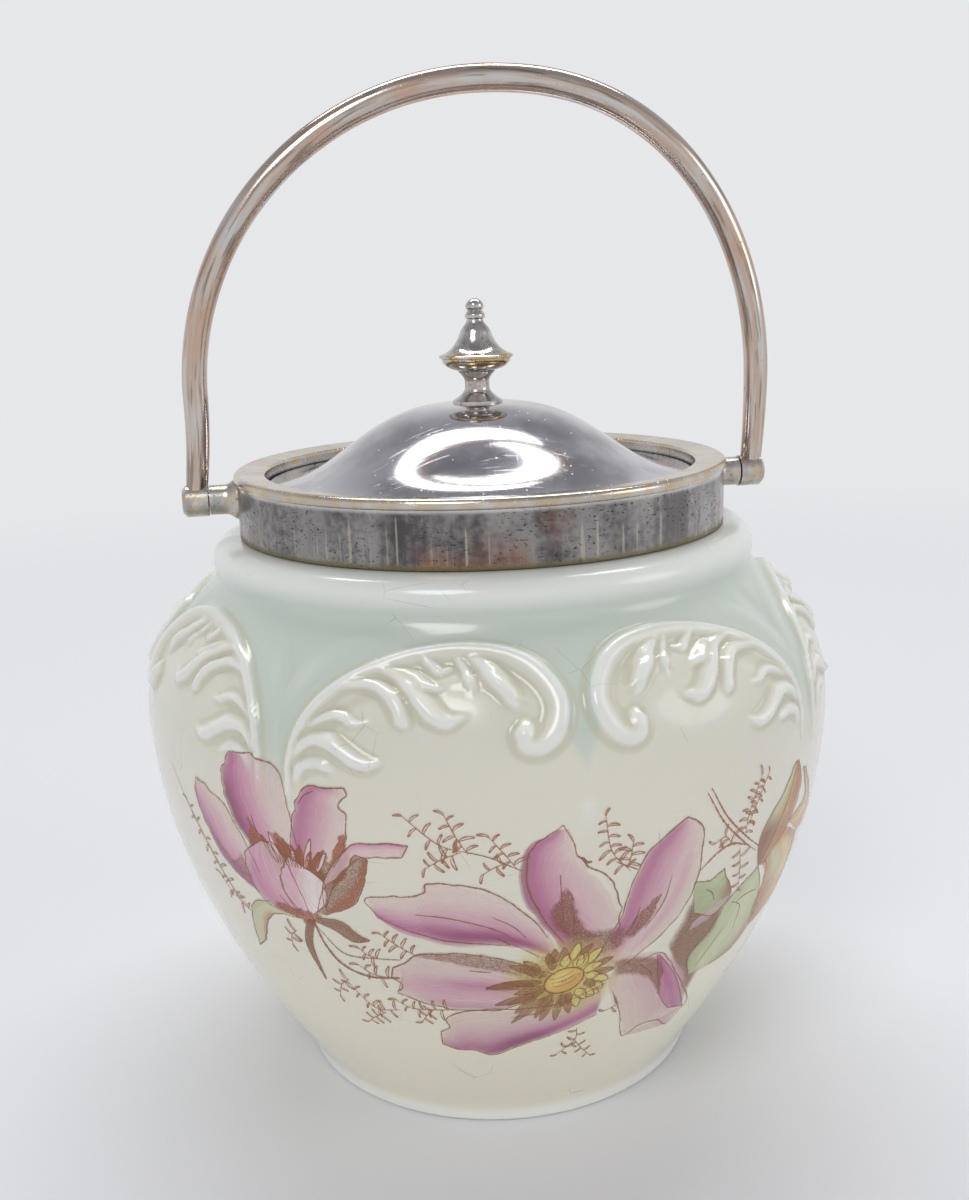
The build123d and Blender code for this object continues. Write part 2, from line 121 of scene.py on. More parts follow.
# The left scroll of a pair: (azimuth from the pair's centre, height), then half-widths and heights
rim_course = [(-42.4, 84), (-42.3, 89.6), (-41.7, 94), (-40.4, 98), (-38, 102), (-34.2, 105.3),
              (-29.6, 107.5), (-24.7, 109), (-18.6, 109.8), (-13.4, 109.6), (-9.1, 108.7), (-5.8, 106.9),
              (-3.6, 104.2), (-2.7, 101.4), (-3.1, 98.6), (-4.4, 96.1), (-6.3, 94.8),
              (-7.9, 95.2), (-8.3, 96.8)]
rim = Ridge(rim_course, (0.9, 1.1, 1.4, 1.7, 1.9, 2.1, 2.3, 2.5, 2.7, 2.9, 3.0, 2.8),
            (0.2, 0.7, 1.0, 1.1, 1.2, 1.3, 1.35, 1.45, 1.55, 1.6, 1.7, 1.8), 260)
leaves = [
    Ridge([(-40.9, 87.4), (-39.8, 90.0), (-37.8, 91.0), (-36.0, 90.6), (-34.4, 89.6)],
          (0.8, 1.5, 1.7, 1.3, 0.5), (0.3, 0.9, 1.0, 0.8, 0.2)),
    Ridge([(-41.2, 91.2), (-40.0, 93.6), (-38.2, 94.9), (-35.9, 94.8), (-33.8, 93.5), (-31.8, 92.1),
           (-29.8, 91.6), (-27.8, 92.6)], (0.8, 1.5, 1.9, 2.1, 2.1, 2.1, 1.8, 0.6),
          (0.3, 0.9, 1.2, 1.4, 1.4, 1.4, 1.1, 0.2)),
    Ridge([(-40.0, 96.6), (-37.6, 98.5), (-35.6, 99.3), (-34.0, 99.1), (-32.4, 98.4), (-30.6, 98.6)],
          (0.6, 1.0, 1.3, 1.3, 1.1, 0.5), (0.3, 0.6, 0.9, 0.9, 0.7, 0.2)),
    Ridge([(-38.8, 101.5), (-35.8, 103.5), (-32.6, 104.3), (-29.9, 104.1), (-27.6, 102.8), (-26.1, 101),
           (-25.5, 99.4)], (0.7, 1.0, 1.3, 1.5, 1.8, 2.1, 2.0), (0.3, 0.6, 0.9, 1.1, 1.3, 1.4, 1.1)),
    Ridge([(-33.1, 106), (-30.2, 106.5), (-27.4, 106), (-25.0, 104.3), (-22.9, 102), (-21.0, 100),
           (-18.9, 99), (-16.2, 100)], (0.8, 1.2, 1.7, 2.2, 2.5, 2.4, 2.0, 0.6),
          (0.3, 0.7, 1.1, 1.4, 1.6, 1.5, 1.2, 0.2)),
    Ridge([(-27, 106.8), (-24.4, 105.7), (-22.2, 104.2), (-19.6, 104)], (1.0, 1.7, 1.8, 0.6),
          (0.4, 1.1, 1.1, 0.2)),
    Ridge([(-24.6, 109), (-22.2, 107.7), (-20.4, 106.6), (-18.6, 107)], (0.8, 1.4, 1.4, 0.6),
          (0.3, 0.8, 0.9, 0.3)),
    Ridge([(-18.4, 109), (-16.8, 107.3), (-15.9, 105.5), (-15.3, 103.4)], (0.8, 1.3, 1.3, 0.6),
          (0.3, 0.8, 0.8, 0.2)),
    Ridge([(-17, 109), (-14.4, 107.6), (-12.4, 105.8), (-10.8, 103.8), (-9.6, 102.1), (-8.4, 101)],
          (0.9, 1.9, 2.6, 2.6, 2.0, 1.1), (0.4, 1.1, 1.6, 1.6, 1.2, 0.2))]
# Softer forms beside the rims: a hollow and a lip inside, a flute outside, a valley between pairs
# and a spine in the middle of each
hollow_depth, inner_lip_height, flute_height, valley_depth, spine_height = 0.4, 0.3, 0.4, 0.45, 0.35
# Where the green ends, as (azimuth from the pair's centre, height), and how green it is below
least_tint = 0.16
arch_turn, arch_height = np.array([
    (0, 91), (2.2, 96), (2.9, 104), (5.8, 107.6), (13, 110), (21, 110), (29, 108), (34.5, 105.4), (38.6, 102),
    (41.4, 97), (42.8, 90), (43.6, 84), (45, 80)]).T


def bump(x):
    """A rounded rise, (1 - x^2)^1.6 for x from -1 to 1, and nothing beyond."""
    return np.clip(1 - x ** 2, 0, 1) ** 1.6


def smooth_step(x, low, high):
    """0 below low and 1 above high, with the cubic 3s^2 - 2s^3 between them."""
    s = np.clip((x - low) / (high - low), 0, 1)
    return s * s * (3 - 2 * s)


def relief(azimuth, height):
    """How far the mould raises the wall there, in millimetres, and how green the tint is, 0 to 1.
    The ridges' heights are joined by the cube root of the sum of their cubes. A leaf falls away more
    gently on its outer side, and the rim on its inner side."""
    turn = np.abs((azimuth - pair_centre + pair_pitch / 2) % pair_pitch - pair_pitch / 2)
    points = on_wall(-turn, height)
    cubes = np.zeros(len(points))
    for leaf in leaves:
        reach, number, side = leaf.nearest(points)
        width = leaf.width[number] * np.where(side > 0, 1.25, 0.8)
        cubes += (leaf.height[number] * bump(reach / width)) ** 3
    reach, number, side = rim.nearest(points)
    width = rim.width[number] * np.where(side > 0, 0.85, 1.15)
    cubes += (rim.height[number] * bump(reach / width)) ** 3
    share = rim.share[number]
    back = smooth_step(share, 0.04, 0.15) * (1 - smooth_step(share, 0.72, 0.82))
    upper = smooth_step(share, 0.52, 0.62) * (1 - smooth_step(share, 0.8, 0.88))
    inside, outside = side < 0, side > 0
    hollow = hollow_depth * back * bump((reach - 4.2) / 2.8) * inside
    inner_lip = inner_lip_height * upper * bump((reach - 6.6) / 1.9) * inside
    flute = flute_height * back * bump((reach - 6.2) / 3.4) * outside
    valley = valley_depth * np.exp(-((pair_pitch / 2 - turn) / 2.6) ** 2) * smooth_step(height, 78, 90)
    ends = smooth_step(height, 74, 84) * (1 - smooth_step(height, 88, 95))
    spine = spine_height * np.exp(-(turn / 2.0) ** 2) * ends
    fade = 1 - smooth_step(height, 109, 115)
    arch = np.interp(turn, arch_turn, arch_height)
    above_arch = smooth_step(height - arch, -2.5, 2.5)
    tint = (least_tint + (1 - least_tint) * above_arch) * smooth_step(height, 78, 98)
    return np.cbrt(cubes) + (flute - hollow + inner_lip - valley + spine) * fade, tint


def add_piece(name, points, faces, body, crease=35.0):
    """A mesh from points in millimetres and arrays of corner numbers, one row for each face. It
    rides on body, is shaded smooth, and keeps the edges that turn by more than crease degrees."""
    mesh = bpy.data.meshes.new(name)
    corners = np.concatenate([f.ravel() for f in faces]).astype(np.int32)
    sizes = np.concatenate([np.full(len(f), f.shape[1]) for f in faces])
    mesh.vertices.add(len(points))
    mesh.vertices.foreach_set("co", (np.asarray(points) * mm).astype(np.float32).ravel())
    mesh.loops.add(len(corners))
    mesh.loops.foreach_set("vertex_index", corners)
    mesh.polygons.add(len(sizes))
    mesh.polygons.foreach_set("loop_start", np.append(0, np.cumsum(sizes)[:-1]).astype(np.int32))
    mesh.update(calc_edges=True)
    mesh.shade_smooth()
    mesh.set_sharp_from_angle(angle=np.radians(crease))
    piece = bpy.data.objects.new(name, mesh)
    bpy.context.scene.collection.objects.link(piece)
    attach(piece, body)
    return piece


def add_values(piece, name, values, kind="FLOAT", part="value"):
    """A value for each point of a piece, for its material to read."""
    piece.data.attributes.new(name, kind, "POINT").data.foreach_set(part, values.astype(np.float32).ravel())


def ring_faces(rows, columns, first=0, closed=True):
    """The quads between rows of points, each row going round with the azimuth or, open, across."""
    i = first + np.arange(rows - 1)[:, None] * columns
    j = np.arange(columns if closed else columns - 1)[None]
    k = (j + 1) % columns
    return np.stack([i + j, i + k, i + columns + k, i + columns + j], -1).reshape(-1, 4)


def turn_rings(outline, columns, start=0.0):
    """An outline of (radius, height) turned about Z, row by row."""
    a = np.radians(start + 360 * np.arange(columns) / columns)
    r, z = np.asarray(outline, float).T[:, :, None]
    return np.stack([r * np.sin(a), -r * np.cos(a), z + 0 * a], -1).reshape(-1, 3)


def inset(handles, depth):
    """A Bezier's handles moved inwards, square to its first and its last leg."""
    legs = handles[[1, 3]] - handles[[0, 2]]
    legs /= np.linalg.norm(legs, axis=1)[:, None]
    inward = np.stack([-legs[:, 1], legs[:, 0]], -1) * depth
    return handles + inward[[0, 0, 1, 1]]


def quarter_round(corner, size, start, count=5):
    """A quarter of a circle about corner, from start degrees."""
    a = np.radians(start + np.linspace(0, 90, count))
    return np.asarray(corner) + size * np.stack([np.cos(a), np.sin(a)], -1)


def around(field):
    """The sum of each value's four neighbours on the grid, with the edges repeated outwards."""
    wide = np.pad(field, 1, mode="edge")
    return wide[1:-1, :-2] + wide[1:-1, 2:] + wide[:-2, 1:-1] + wide[2:, 1:-1]


fine, coarse = 720, 180   # points round the moulded wall, and round the plain surfaces
half = fine // 8
moulded = np.vstack([bezier(lower_wall, 26), bezier(shoulder, 88)[1:], bezier(neck_roll, 13)[1:]])
fold = np.abs((np.arange(fine) + half) % (2 * half) - half)
turns, heights = np.meshgrid(np.arange(half + 1) * 45 / half, moulded[:, 1])
raised, green = (v.reshape(turns.shape) for v in relief((pair_centre + turns).ravel(), heights.ravel()))
# crest: how far the relief bulges above its neighbours, which the glass colours as a painted highlight on
# crests and painted shade in hollows
crest = 4 * raised - around(raised)
for _ in range(3):
    crest = (4 * crest + around(crest)) / 8
azimuths = pair_centre + np.arange(fine) * 360 / fine
wall_points = on_wall(azimuths[None] + 0 * heights[:, :1], heights[:, :1] + 0 * azimuths[None],
                      raised[:, fold]).reshape(-1, 3)

land_inside = foot_radius - foot_land
foot = np.vstack([
    (land_inside - foot_hollow, foot_hollow), (land_inside, 0),
    quarter_round((foot_radius - foot_round, foot_round), foot_round, -90),
    (foot_radius, foot_edge / 2), (foot_radius + 0.2, foot_edge * 0.8)])
mouth_radius = neck_radius - glass_wall
lip = lip_height - lip_round
inner_shoulder, inner_wall = inset(shoulder, glass_wall), inset(lower_wall, glass_wall)
throat = np.array((mouth_radius, neck_roll[3, 1]))
inner_roll = np.array([throat, throat - (0, 3.4), inner_shoulder[3] + (0, 2.3), inner_shoulder[3]])
lining = np.vstack([
    (neck_radius, neck_roll[3, 1]), quarter_round((neck_radius - lip_round, lip), lip_round, 0),
    (mouth_radius, lip_height), bezier(inner_roll, 6), bezier(inner_shoulder[::-1], 16)[1:],
    bezier(inner_wall[::-1], 14)[1:]])

foot_points = turn_rings(foot, coarse, pair_centre)
lining_points = turn_rings(lining, coarse, pair_centre)
first_wall, first_lining = len(foot_points), len(foot_points) + len(wall_points)
j = np.arange(coarse)
step = fine // coarse
below = first_wall - coarse + np.stack([j, (j + 1) % coarse], -1)
above = first_lining + np.stack([(j + 1) % coarse, j], -1)
wall_foot = first_wall + (step * j[:, None] + np.arange(step, -1, -1)) % fine
wall_top = first_lining - fine + (step * j[:, None] + np.arange(step + 1)) % fine
glass = add_piece(
    "glass_body", np.vstack([foot_points, wall_points, lining_points]),
    [ring_faces(len(foot), coarse), ring_faces(len(moulded), fine, first_wall),
     ring_faces(len(lining), coarse, first_lining), np.hstack([below, wall_foot]),
     np.hstack([above, wall_top]), np.arange(coarse)[None, ::-1],
     first_lining + len(lining_points) - coarse + np.arange(coarse)[None]],
    "jar", crease=40)
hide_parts("glass_jar")
# The lining counts as a crest, so it is whitened: partly the opal's own white, partly painted light that
# lifts the shade inside the jar.
plain_foot, whitened_lining = np.zeros(len(foot_points)), np.full(len(lining_points), 0.2)
add_values(glass, "tint", np.concatenate([plain_foot, green[:, fold].ravel(), 0 * whitened_lining]))
add_values(glass, "crest", np.concatenate([plain_foot, crest[:, fold].ravel(), whitened_lining]))


def paint(red, green, blue):
    """A colour as seen, 0 to 255, turned into the linear light that a shader takes."""
    c = np.array((red, green, blue)) / 255
    return np.where(c > 0.04045, ((c + 0.055) / 1.055) ** 2.4, c / 12.92)


class Wire:
    """A value that varies over a surface. Arithmetic on it adds Math nodes to its material."""

    def __init__(self, finish, socket):
        self.finish, self.socket = finish, socket

    def maths(self, operation, first, second=0.0):
        return self.finish.node("ShaderNodeMath", {"operation": operation}, {0: first, 1: second})

    def __add__(self, other):
        return self.maths("ADD", self, other)

    def __sub__(self, other):
        return self.maths("SUBTRACT", self, other)

    def __rsub__(self, other):
        return self.maths("SUBTRACT", other, self)

    def __mul__(self, other):
        return self.maths("MULTIPLY", self, other)

    __radd__, __rmul__ = __add__, __mul__

    def rise(self, low, high):
        """0 below low, 1 above high, smooth between; falling if low is above high."""
        return self.finish.node("ShaderNodeMapRange", {"interpolation_type": "SMOOTHSTEP"},
                                {"Value": self, "From Min": low, "From Max": high})


class Finish:
    """A material in the making: one Principled shader, and the nodes that feed it."""

    def __init__(self, name, **constants):
        self.material = bpy.data.materials.new(name)
        self.material.use_nodes = True
        self.tree = self.material.node_tree
        self.shader = self.tree.nodes["Principled BSDF"]
        for socket, value in constants.items():
            self.shader.inputs[socket.replace("_", " ")].default_value = value
        place = self.node("ShaderNodeTexCoord", output="Object")
        self.place = self.node("ShaderNodeVectorMath", {"operation": "SCALE"}, {0: place, "Scale": 1 / mm})

    def node(self, kind, settings={}, inputs={}, output=0):
        """Adds a node: its settings first, then a value or a link for each socket that is named."""
        node = self.tree.nodes.new(kind)
        for setting, value in settings.items():
            setattr(node, setting, value)
        for socket, value in inputs.items():
            self.feed(node.inputs[socket], value)
        return Wire(self, node.outputs[output])

    def feed(self, socket, value):
        if isinstance(value, Wire):
            self.tree.links.new(value.socket, socket)
        elif socket.type == "RGBA":
            socket.default_value = (*value[:3], 1)
        else:
            socket.default_value = value

    def mix(self, share, first, second):
        """A colour that goes from first to second as share goes from 0 to 1."""
        return self.node("ShaderNodeMix", {"data_type": "RGBA"}, {0: share, 6: first, 7: second}, 2)

    def over(self, colour, *layers):
        """A colour with others laid over it in turn, each by its own share."""
        for share, upper in layers:
            colour = self.mix(share, colour, upper)
        return colour

    def axis(self, name):
        """One coordinate of the place, in millimetres."""
        return self.node("ShaderNodeSeparateXYZ", {}, {0: self.place}, output=name)

    def read(self, name, output="Fac"):
        """A value that the mesh carries."""
        return self.node("ShaderNodeAttribute", {"attribute_name": name}, output=output)

    def steps(self, size, stretch, shift, place=None):
        """The place counted in steps of that size in millimetres, stretched along the axes."""
        scale = [1 / (size * s) for s in stretch]
        return self.node("ShaderNodeMapping", {}, {0: place or self.place, "Scale": scale,
                                                   "Location": (shift, shift, shift)})

    def noise(self, size, detail=2.0, stretch=(1, 1, 1), shift=0.0, place=None):
        """Cloudy noise around 0.5, with lumps of that size in millimetres, stretched along the axes."""
        place = self.steps(size, stretch, shift, place)
        return self.node("ShaderNodeTexNoise", {}, {"Vector": place, "Scale": 1.0, "Detail": detail})

    def dots(self, size, shift=0.0, feature="F1"):
        """The distance from scattered points, about size millimetres apart, as a share of size."""
        place = self.steps(size, (1, 1, 1), shift)
        return self.node("ShaderNodeTexVoronoi", {"feature": feature}, {"Vector": place, "Scale": 1.0})

    def set(self, **inputs):
        """Links or sets the shader's own sockets."""
        for socket, value in inputs.items():
            self.feed(self.shader.inputs[socket.replace("_", " ")], value)

    def rough_up(self, height, depth):
        """Bumps the surface by height times depth, in millimetres."""
        self.set(Normal=self.node("ShaderNodeBump", {}, {"Strength": 1.0, "Distance": depth * mm,
                                                         "Height": height}))


def opal_glass():
    """Ivory glass with a celadon tint. Painted light in its colour: a highlight whiter on the crests of the
    relief, shade warmer in its hollows, light from the floor on the lower wall, and a highlight on the foot.
    """
    opal = Finish("opal_glass", Roughness=0.22, IOR=1.5, Coat_Weight=0.5, Coat_Roughness=0.06,
                  Subsurface_Weight=0.12, Subsurface_Scale=0.004)
    ivory, celadon = paint(230, 225, 209), paint(203, 214, 203)
    # milk whitens the neck roll and paints a highlight on the crests; straw is painted shade for the hollows
    milk, painted_hollow_shade = paint(242, 243, 238), paint(202, 198, 172)
    height, tint, crest = opal.axis("Z"), opal.read("tint"), opal.read("crest")
    cloud = opal.noise(30, 3)
    cracks = opal.dots(9, feature="DISTANCE_TO_EDGE").rise(0.012, 0.0)
    crazing = cracks * opal.noise(14, 2, shift=3).rise(0.56, 0.66)
    colour = opal.over(
        ivory, (cloud.rise(0.35, 0.7) * 0.5, paint(231, 226, 208)),
        # painted light: the lower wall is made lighter and warmer, as if lit from the floor below
        (height.rise(62, 20) * 0.85, paint(248, 241, 218)), (tint * (0.9 + (cloud - 0.5) * 0.3), celadon),
        # the milk on the crests is a painted highlight
        (height.rise(114, 119) * 0.75, milk), (crest.rise(0.01, 0.14) * 0.7, milk),
        # the colour in the hollows is painted shade, and the near-white at the foot is a painted highlight
        (crest.rise(-0.015, -0.14) * 0.5, painted_hollow_shade), (height.rise(4.4, 1.8) * 0.8, paint(248, 248, 244)),
        (crazing * 0.36, paint(144, 122, 92)))
    opal.set(Base_Color=colour)
    opal.rough_up(opal.noise(2.2, 2) * 0.3 + opal.noise(12, 2), 0.05)
    return opal.material


glass.data.materials.append(opal_glass())

# ==== Printed spray ===========================================================================
# Two flowers with leaves and sprigs in enamel colours, transferred to the glass and fired on, and
# a smaller spray behind. Thin streaky washes and brown stipple lie under a broken brown outline.

wash_lift, layer_lift, line_lift, over_ridges = 0.045, 0.003, 0.085, 0.08
flat = np.array((1.3, 1.0))   # millimetres to a degree round the belly, and to a millimetre up it
mauve, plum, rose, blush = paint(184, 98, 144), paint(134, 48, 90), paint(218, 150, 180), paint(236, 209, 209)
umber, sepia, rust, ochre = paint(146, 92, 58), paint(150, 94, 66), paint(172, 96, 58), paint(216, 156, 84)
henna, tan = paint(172, 112, 80), paint(172, 122, 78)
yellow, amber = paint(232, 216, 132), paint(222, 184, 100)
leaf_green, olive = paint(200, 210, 164), paint(148, 146, 92)


def on_relief(azimuth, height, lift):
    """Points that far off the moulded outside, whose rise is read between the glass's own points."""
    turn = np.abs((azimuth - pair_centre + pair_pitch / 2) % pair_pitch - pair_pitch / 2) * half / 45
    row = np.interp(height, moulded[:, 1], np.arange(len(moulded)))
    i, j = np.minimum(row.astype(int), len(moulded) - 2), np.minimum(turn.astype(int), half - 1)
    s, t = row - i, turn - j
    rise = (1 - s) * ((1 - t) * raised[i, j] + t * raised[i, j + 1]) \
        + s * ((1 - t) * raised[i + 1, j] + t * raised[i + 1, j + 1])
    return on_wall(azimuth, height, rise + lift + over_ridges * smooth_step(height, 78, 83))


def turned(points, turn):
    """Points turned by that many radians, anticlockwise."""
    x, y = points.T
    return np.stack([x * np.cos(turn) - y * np.sin(turn), x * np.sin(turn) + y * np.cos(turn)], -1)


class Spray:
    """Films and lines of enamel, drawn as (azimuth, height). A spray that repeats a motif elsewhere
    moves it from centre to seat, and scales or mirrors it."""

    def __init__(self, seed, centre=(0, 0), seat=(0, 0), scale=(1, 1)):
        self.draw = np.random.default_rng(seed)
        self.points, self.faces, self.values, self.count = [], [], [], 0
        self.centre, self.seat, self.scale = np.array(centre), np.array(seat), np.array(scale)

    def lay(self, place, lift, ink, cover, stipple):
        """One film on a grid of places, with its ink and its cover. Its grain is the distance along
        the grid and across it, in millimetres."""
        rows, columns = place.shape[:2]
        seat = (place - self.centre) * self.scale + self.seat
        points = on_relief(seat[..., 0].ravel(), seat[..., 1].ravel(), lift).reshape(rows, columns, 3)
        steps = np.linalg.norm(np.diff(points, axis=0), axis=2).mean(1)
        along = np.append(0, np.cumsum(steps))[:, None] + np.zeros((1, columns))
        across = np.linalg.norm(points - points[:, :1], axis=2)
        facing = np.cross(points[1:, :-1] - points[:-1, :-1], points[:-1, 1:] - points[:-1, :-1])
        outward = (facing * points[:-1, :-1] * (1, 1, 0)).sum() > 0
        faces = ring_faces(rows, columns, self.count, closed=False)
        self.faces.append(faces[:, ::-1] if outward else faces)
        self.points.append(points.reshape(-1, 3))
        shift = self.draw.uniform(0, 50)
        parts = [along + shift, across, cover, stipple]
        values = np.stack([np.broadcast_to(part, (rows, columns)) for part in parts], -1)
        inks = np.broadcast_to(ink, (rows, columns, 3))
        self.values.append(np.concatenate([values, inks], -1).reshape(-1, 7))
        self.count += rows * columns

    def torn(self, course, count, size):
        """A smooth course that strays from its line by about size, more towards its end."""
        line = smooth_line(np.asarray(course) * flat, count)
        share = np.linspace(0, 1, count)
        stray = np.interp(share, np.linspace(0, 1, count // 3), self.draw.normal(0, size, count // 3))
        along = np.gradient(line, axis=0)
        side = np.stack([-along[:, 1], along[:, 0]], -1) / np.linalg.norm(along, axis=1)[:, None]
        return (line + side * (stray * (0.2 + share) * smooth_step(share, 0, 0.15))[:, None]) / flat

    def wash(self, left, right, ink, cover, strokes=(), stipple=0.0, layer=0, torn=0.22, line=0.3,
             slip=(0, 0), rows=48, columns=18, soft=0.07):
        """A petal, leaf or patch between two edges: P(u, v) = (1 - v) left(u) + v right(u). Each
        stroke (ink, v at the root, v at the tip, width, first u, last u, strength) is a soft band. The
        film fades out towards its edges, over a share soft of its width."""
        u, v = np.linspace(0, 1, rows)[:, None], np.linspace(0, 1, columns)[None]
        left, right = self.torn(left, rows, torn), self.torn(right, rows, torn)
        place = left[:, None] * (1 - v)[..., None] + right[:, None] * v[..., None]
        colour, spread = ink + 0 * place[..., :1], cover + 0 * u * v
        for pigment, root, tip, width, first, last, strength in strokes:
            share = strength * np.exp(-((v - root - (tip - root) * u) / width) ** 2)
            share = share * smooth_step(u, first - 0.14, first + 0.14)
            share = share * (1 - smooth_step(u, last - 0.14, last + 0.14))
            colour = colour + (pigment - colour) * share[..., None]
            spread = spread + (1 - spread) * share
        spread = spread * smooth_step(np.minimum(v, 1 - v), -0.03, soft)
        spread = spread * smooth_step(np.minimum(u, 1 - u), -0.02, soft / 2)
        self.lay(place + slip, wash_lift + layer * layer_lift, colour, spread, stipple)
        if line:
            self.line(np.vstack([left, place[-1, 1:-1], right[::-1]]), line)

    def line(self, course, width, ink=sepia, pressure=(0.6, 1, 1, 0.6), smooth=0):
        """A drawn line, widened by its pressure and by the grain of the plate."""
        line = np.asarray(course, float) * flat
        line = smooth_line(line, smooth) if smooth else line
        count = len(line)
        along = np.gradient(line, axis=0)
        side = np.stack([-along[:, 1], along[:, 0]], -1) / (np.linalg.norm(along, axis=1)[:, None] + 1e-9)
        breadth = np.interp(np.linspace(0, 1, count), np.linspace(0, 1, len(pressure)), pressure)
        side = side * (breadth * width / 2 * self.draw.uniform(0.6, 1.3, count))[:, None]
        self.lay(np.stack([line - side, line + side], 1) / flat, line_lift, ink, 0.8, 0.3)

    def leaflet(self, base, turn, size, hand):
        """A curled leaflet drawn as a loop about base, in millimetres: x = size (1 - cos a) / 2 and
        y = bend x^2 + width sin a sin(a / 2)."""
        a = np.linspace(0, 2 * np.pi, 15)
        x = size * (1 - np.cos(a)) / 2
        y = hand * 0.75 * x ** 2 / size + 0.2 * size * np.sin(a) * np.sin(a / 2)
        self.line((base + turned(np.stack([x, y], -1), turn)) / flat, 0.27, henna, (0.5, 1.2, 0.9, 0.5))

    def sprig(self, stem, leaflets, size=2.0):
        """A stem with leaflets to its left and its right, the last at its tip."""
        course = smooth_line(np.asarray(stem) * flat, 40)
        self.line(course / flat, 0.24, henna)
        for number, share in enumerate(np.linspace(0.1, 1, leaflets)):
            i = int(share * 38)
            heading = np.arctan2(*(course[i + 1] - course[i])[::-1])
            hand = 1 if number % 2 else -1
            lean = hand * self.draw.uniform(0.6, 1.2) * (share < 1)
            length = size * self.draw.uniform(0.8, 1.25) * (1.1 - 0.35 * share)
            self.leaflet(course[i], heading + lean, length, hand)

    def anther(self, base, turn, length, width, ink, cover, stipple, layer):
        """A finger of the flower's heart: half-width = width sin(pi t^0.8)^0.7 / 2 at t along it."""
        t = np.linspace(0, 1, 8)
        breadth = width / 2 * np.sin(np.pi * np.clip(t, 0.02, 0.98) ** 0.8) ** 0.7
        bend = self.draw.uniform(-0.12, 0.12) * t ** 2 * length
        left, right = ((base + turned(np.stack([length * t, bend + side * breadth], -1), turn)) / flat
                       for side in (1, -1))
        self.wash(left, right, ink, cover, stipple=stipple, layer=layer, torn=0.04, line=0.24,
                  rows=12, columns=5)

    def piece(self, name, finish):
        """The mesh of all its films and lines, with what its material reads."""
        piece = add_piece(name, np.vstack(self.points), self.faces, "jar", crease=180)
        piece.visible_shadow = False   # the enamel is fused to the glass, and casts no shadow on it
        values = np.vstack(self.values)
        add_values(piece, "cover", values[:, 2])
        add_values(piece, "stipple", values[:, 3])
        add_values(piece, "grain", np.pad(values[:, :2], ((0, 0), (0, 1))), "FLOAT_VECTOR", "vector")
        add_values(piece, "ink", np.pad(values[:, 4:], ((0, 0), (0, 1)), constant_values=1),
                   "FLOAT_COLOR", "color")
        piece.data.materials.append(finish)


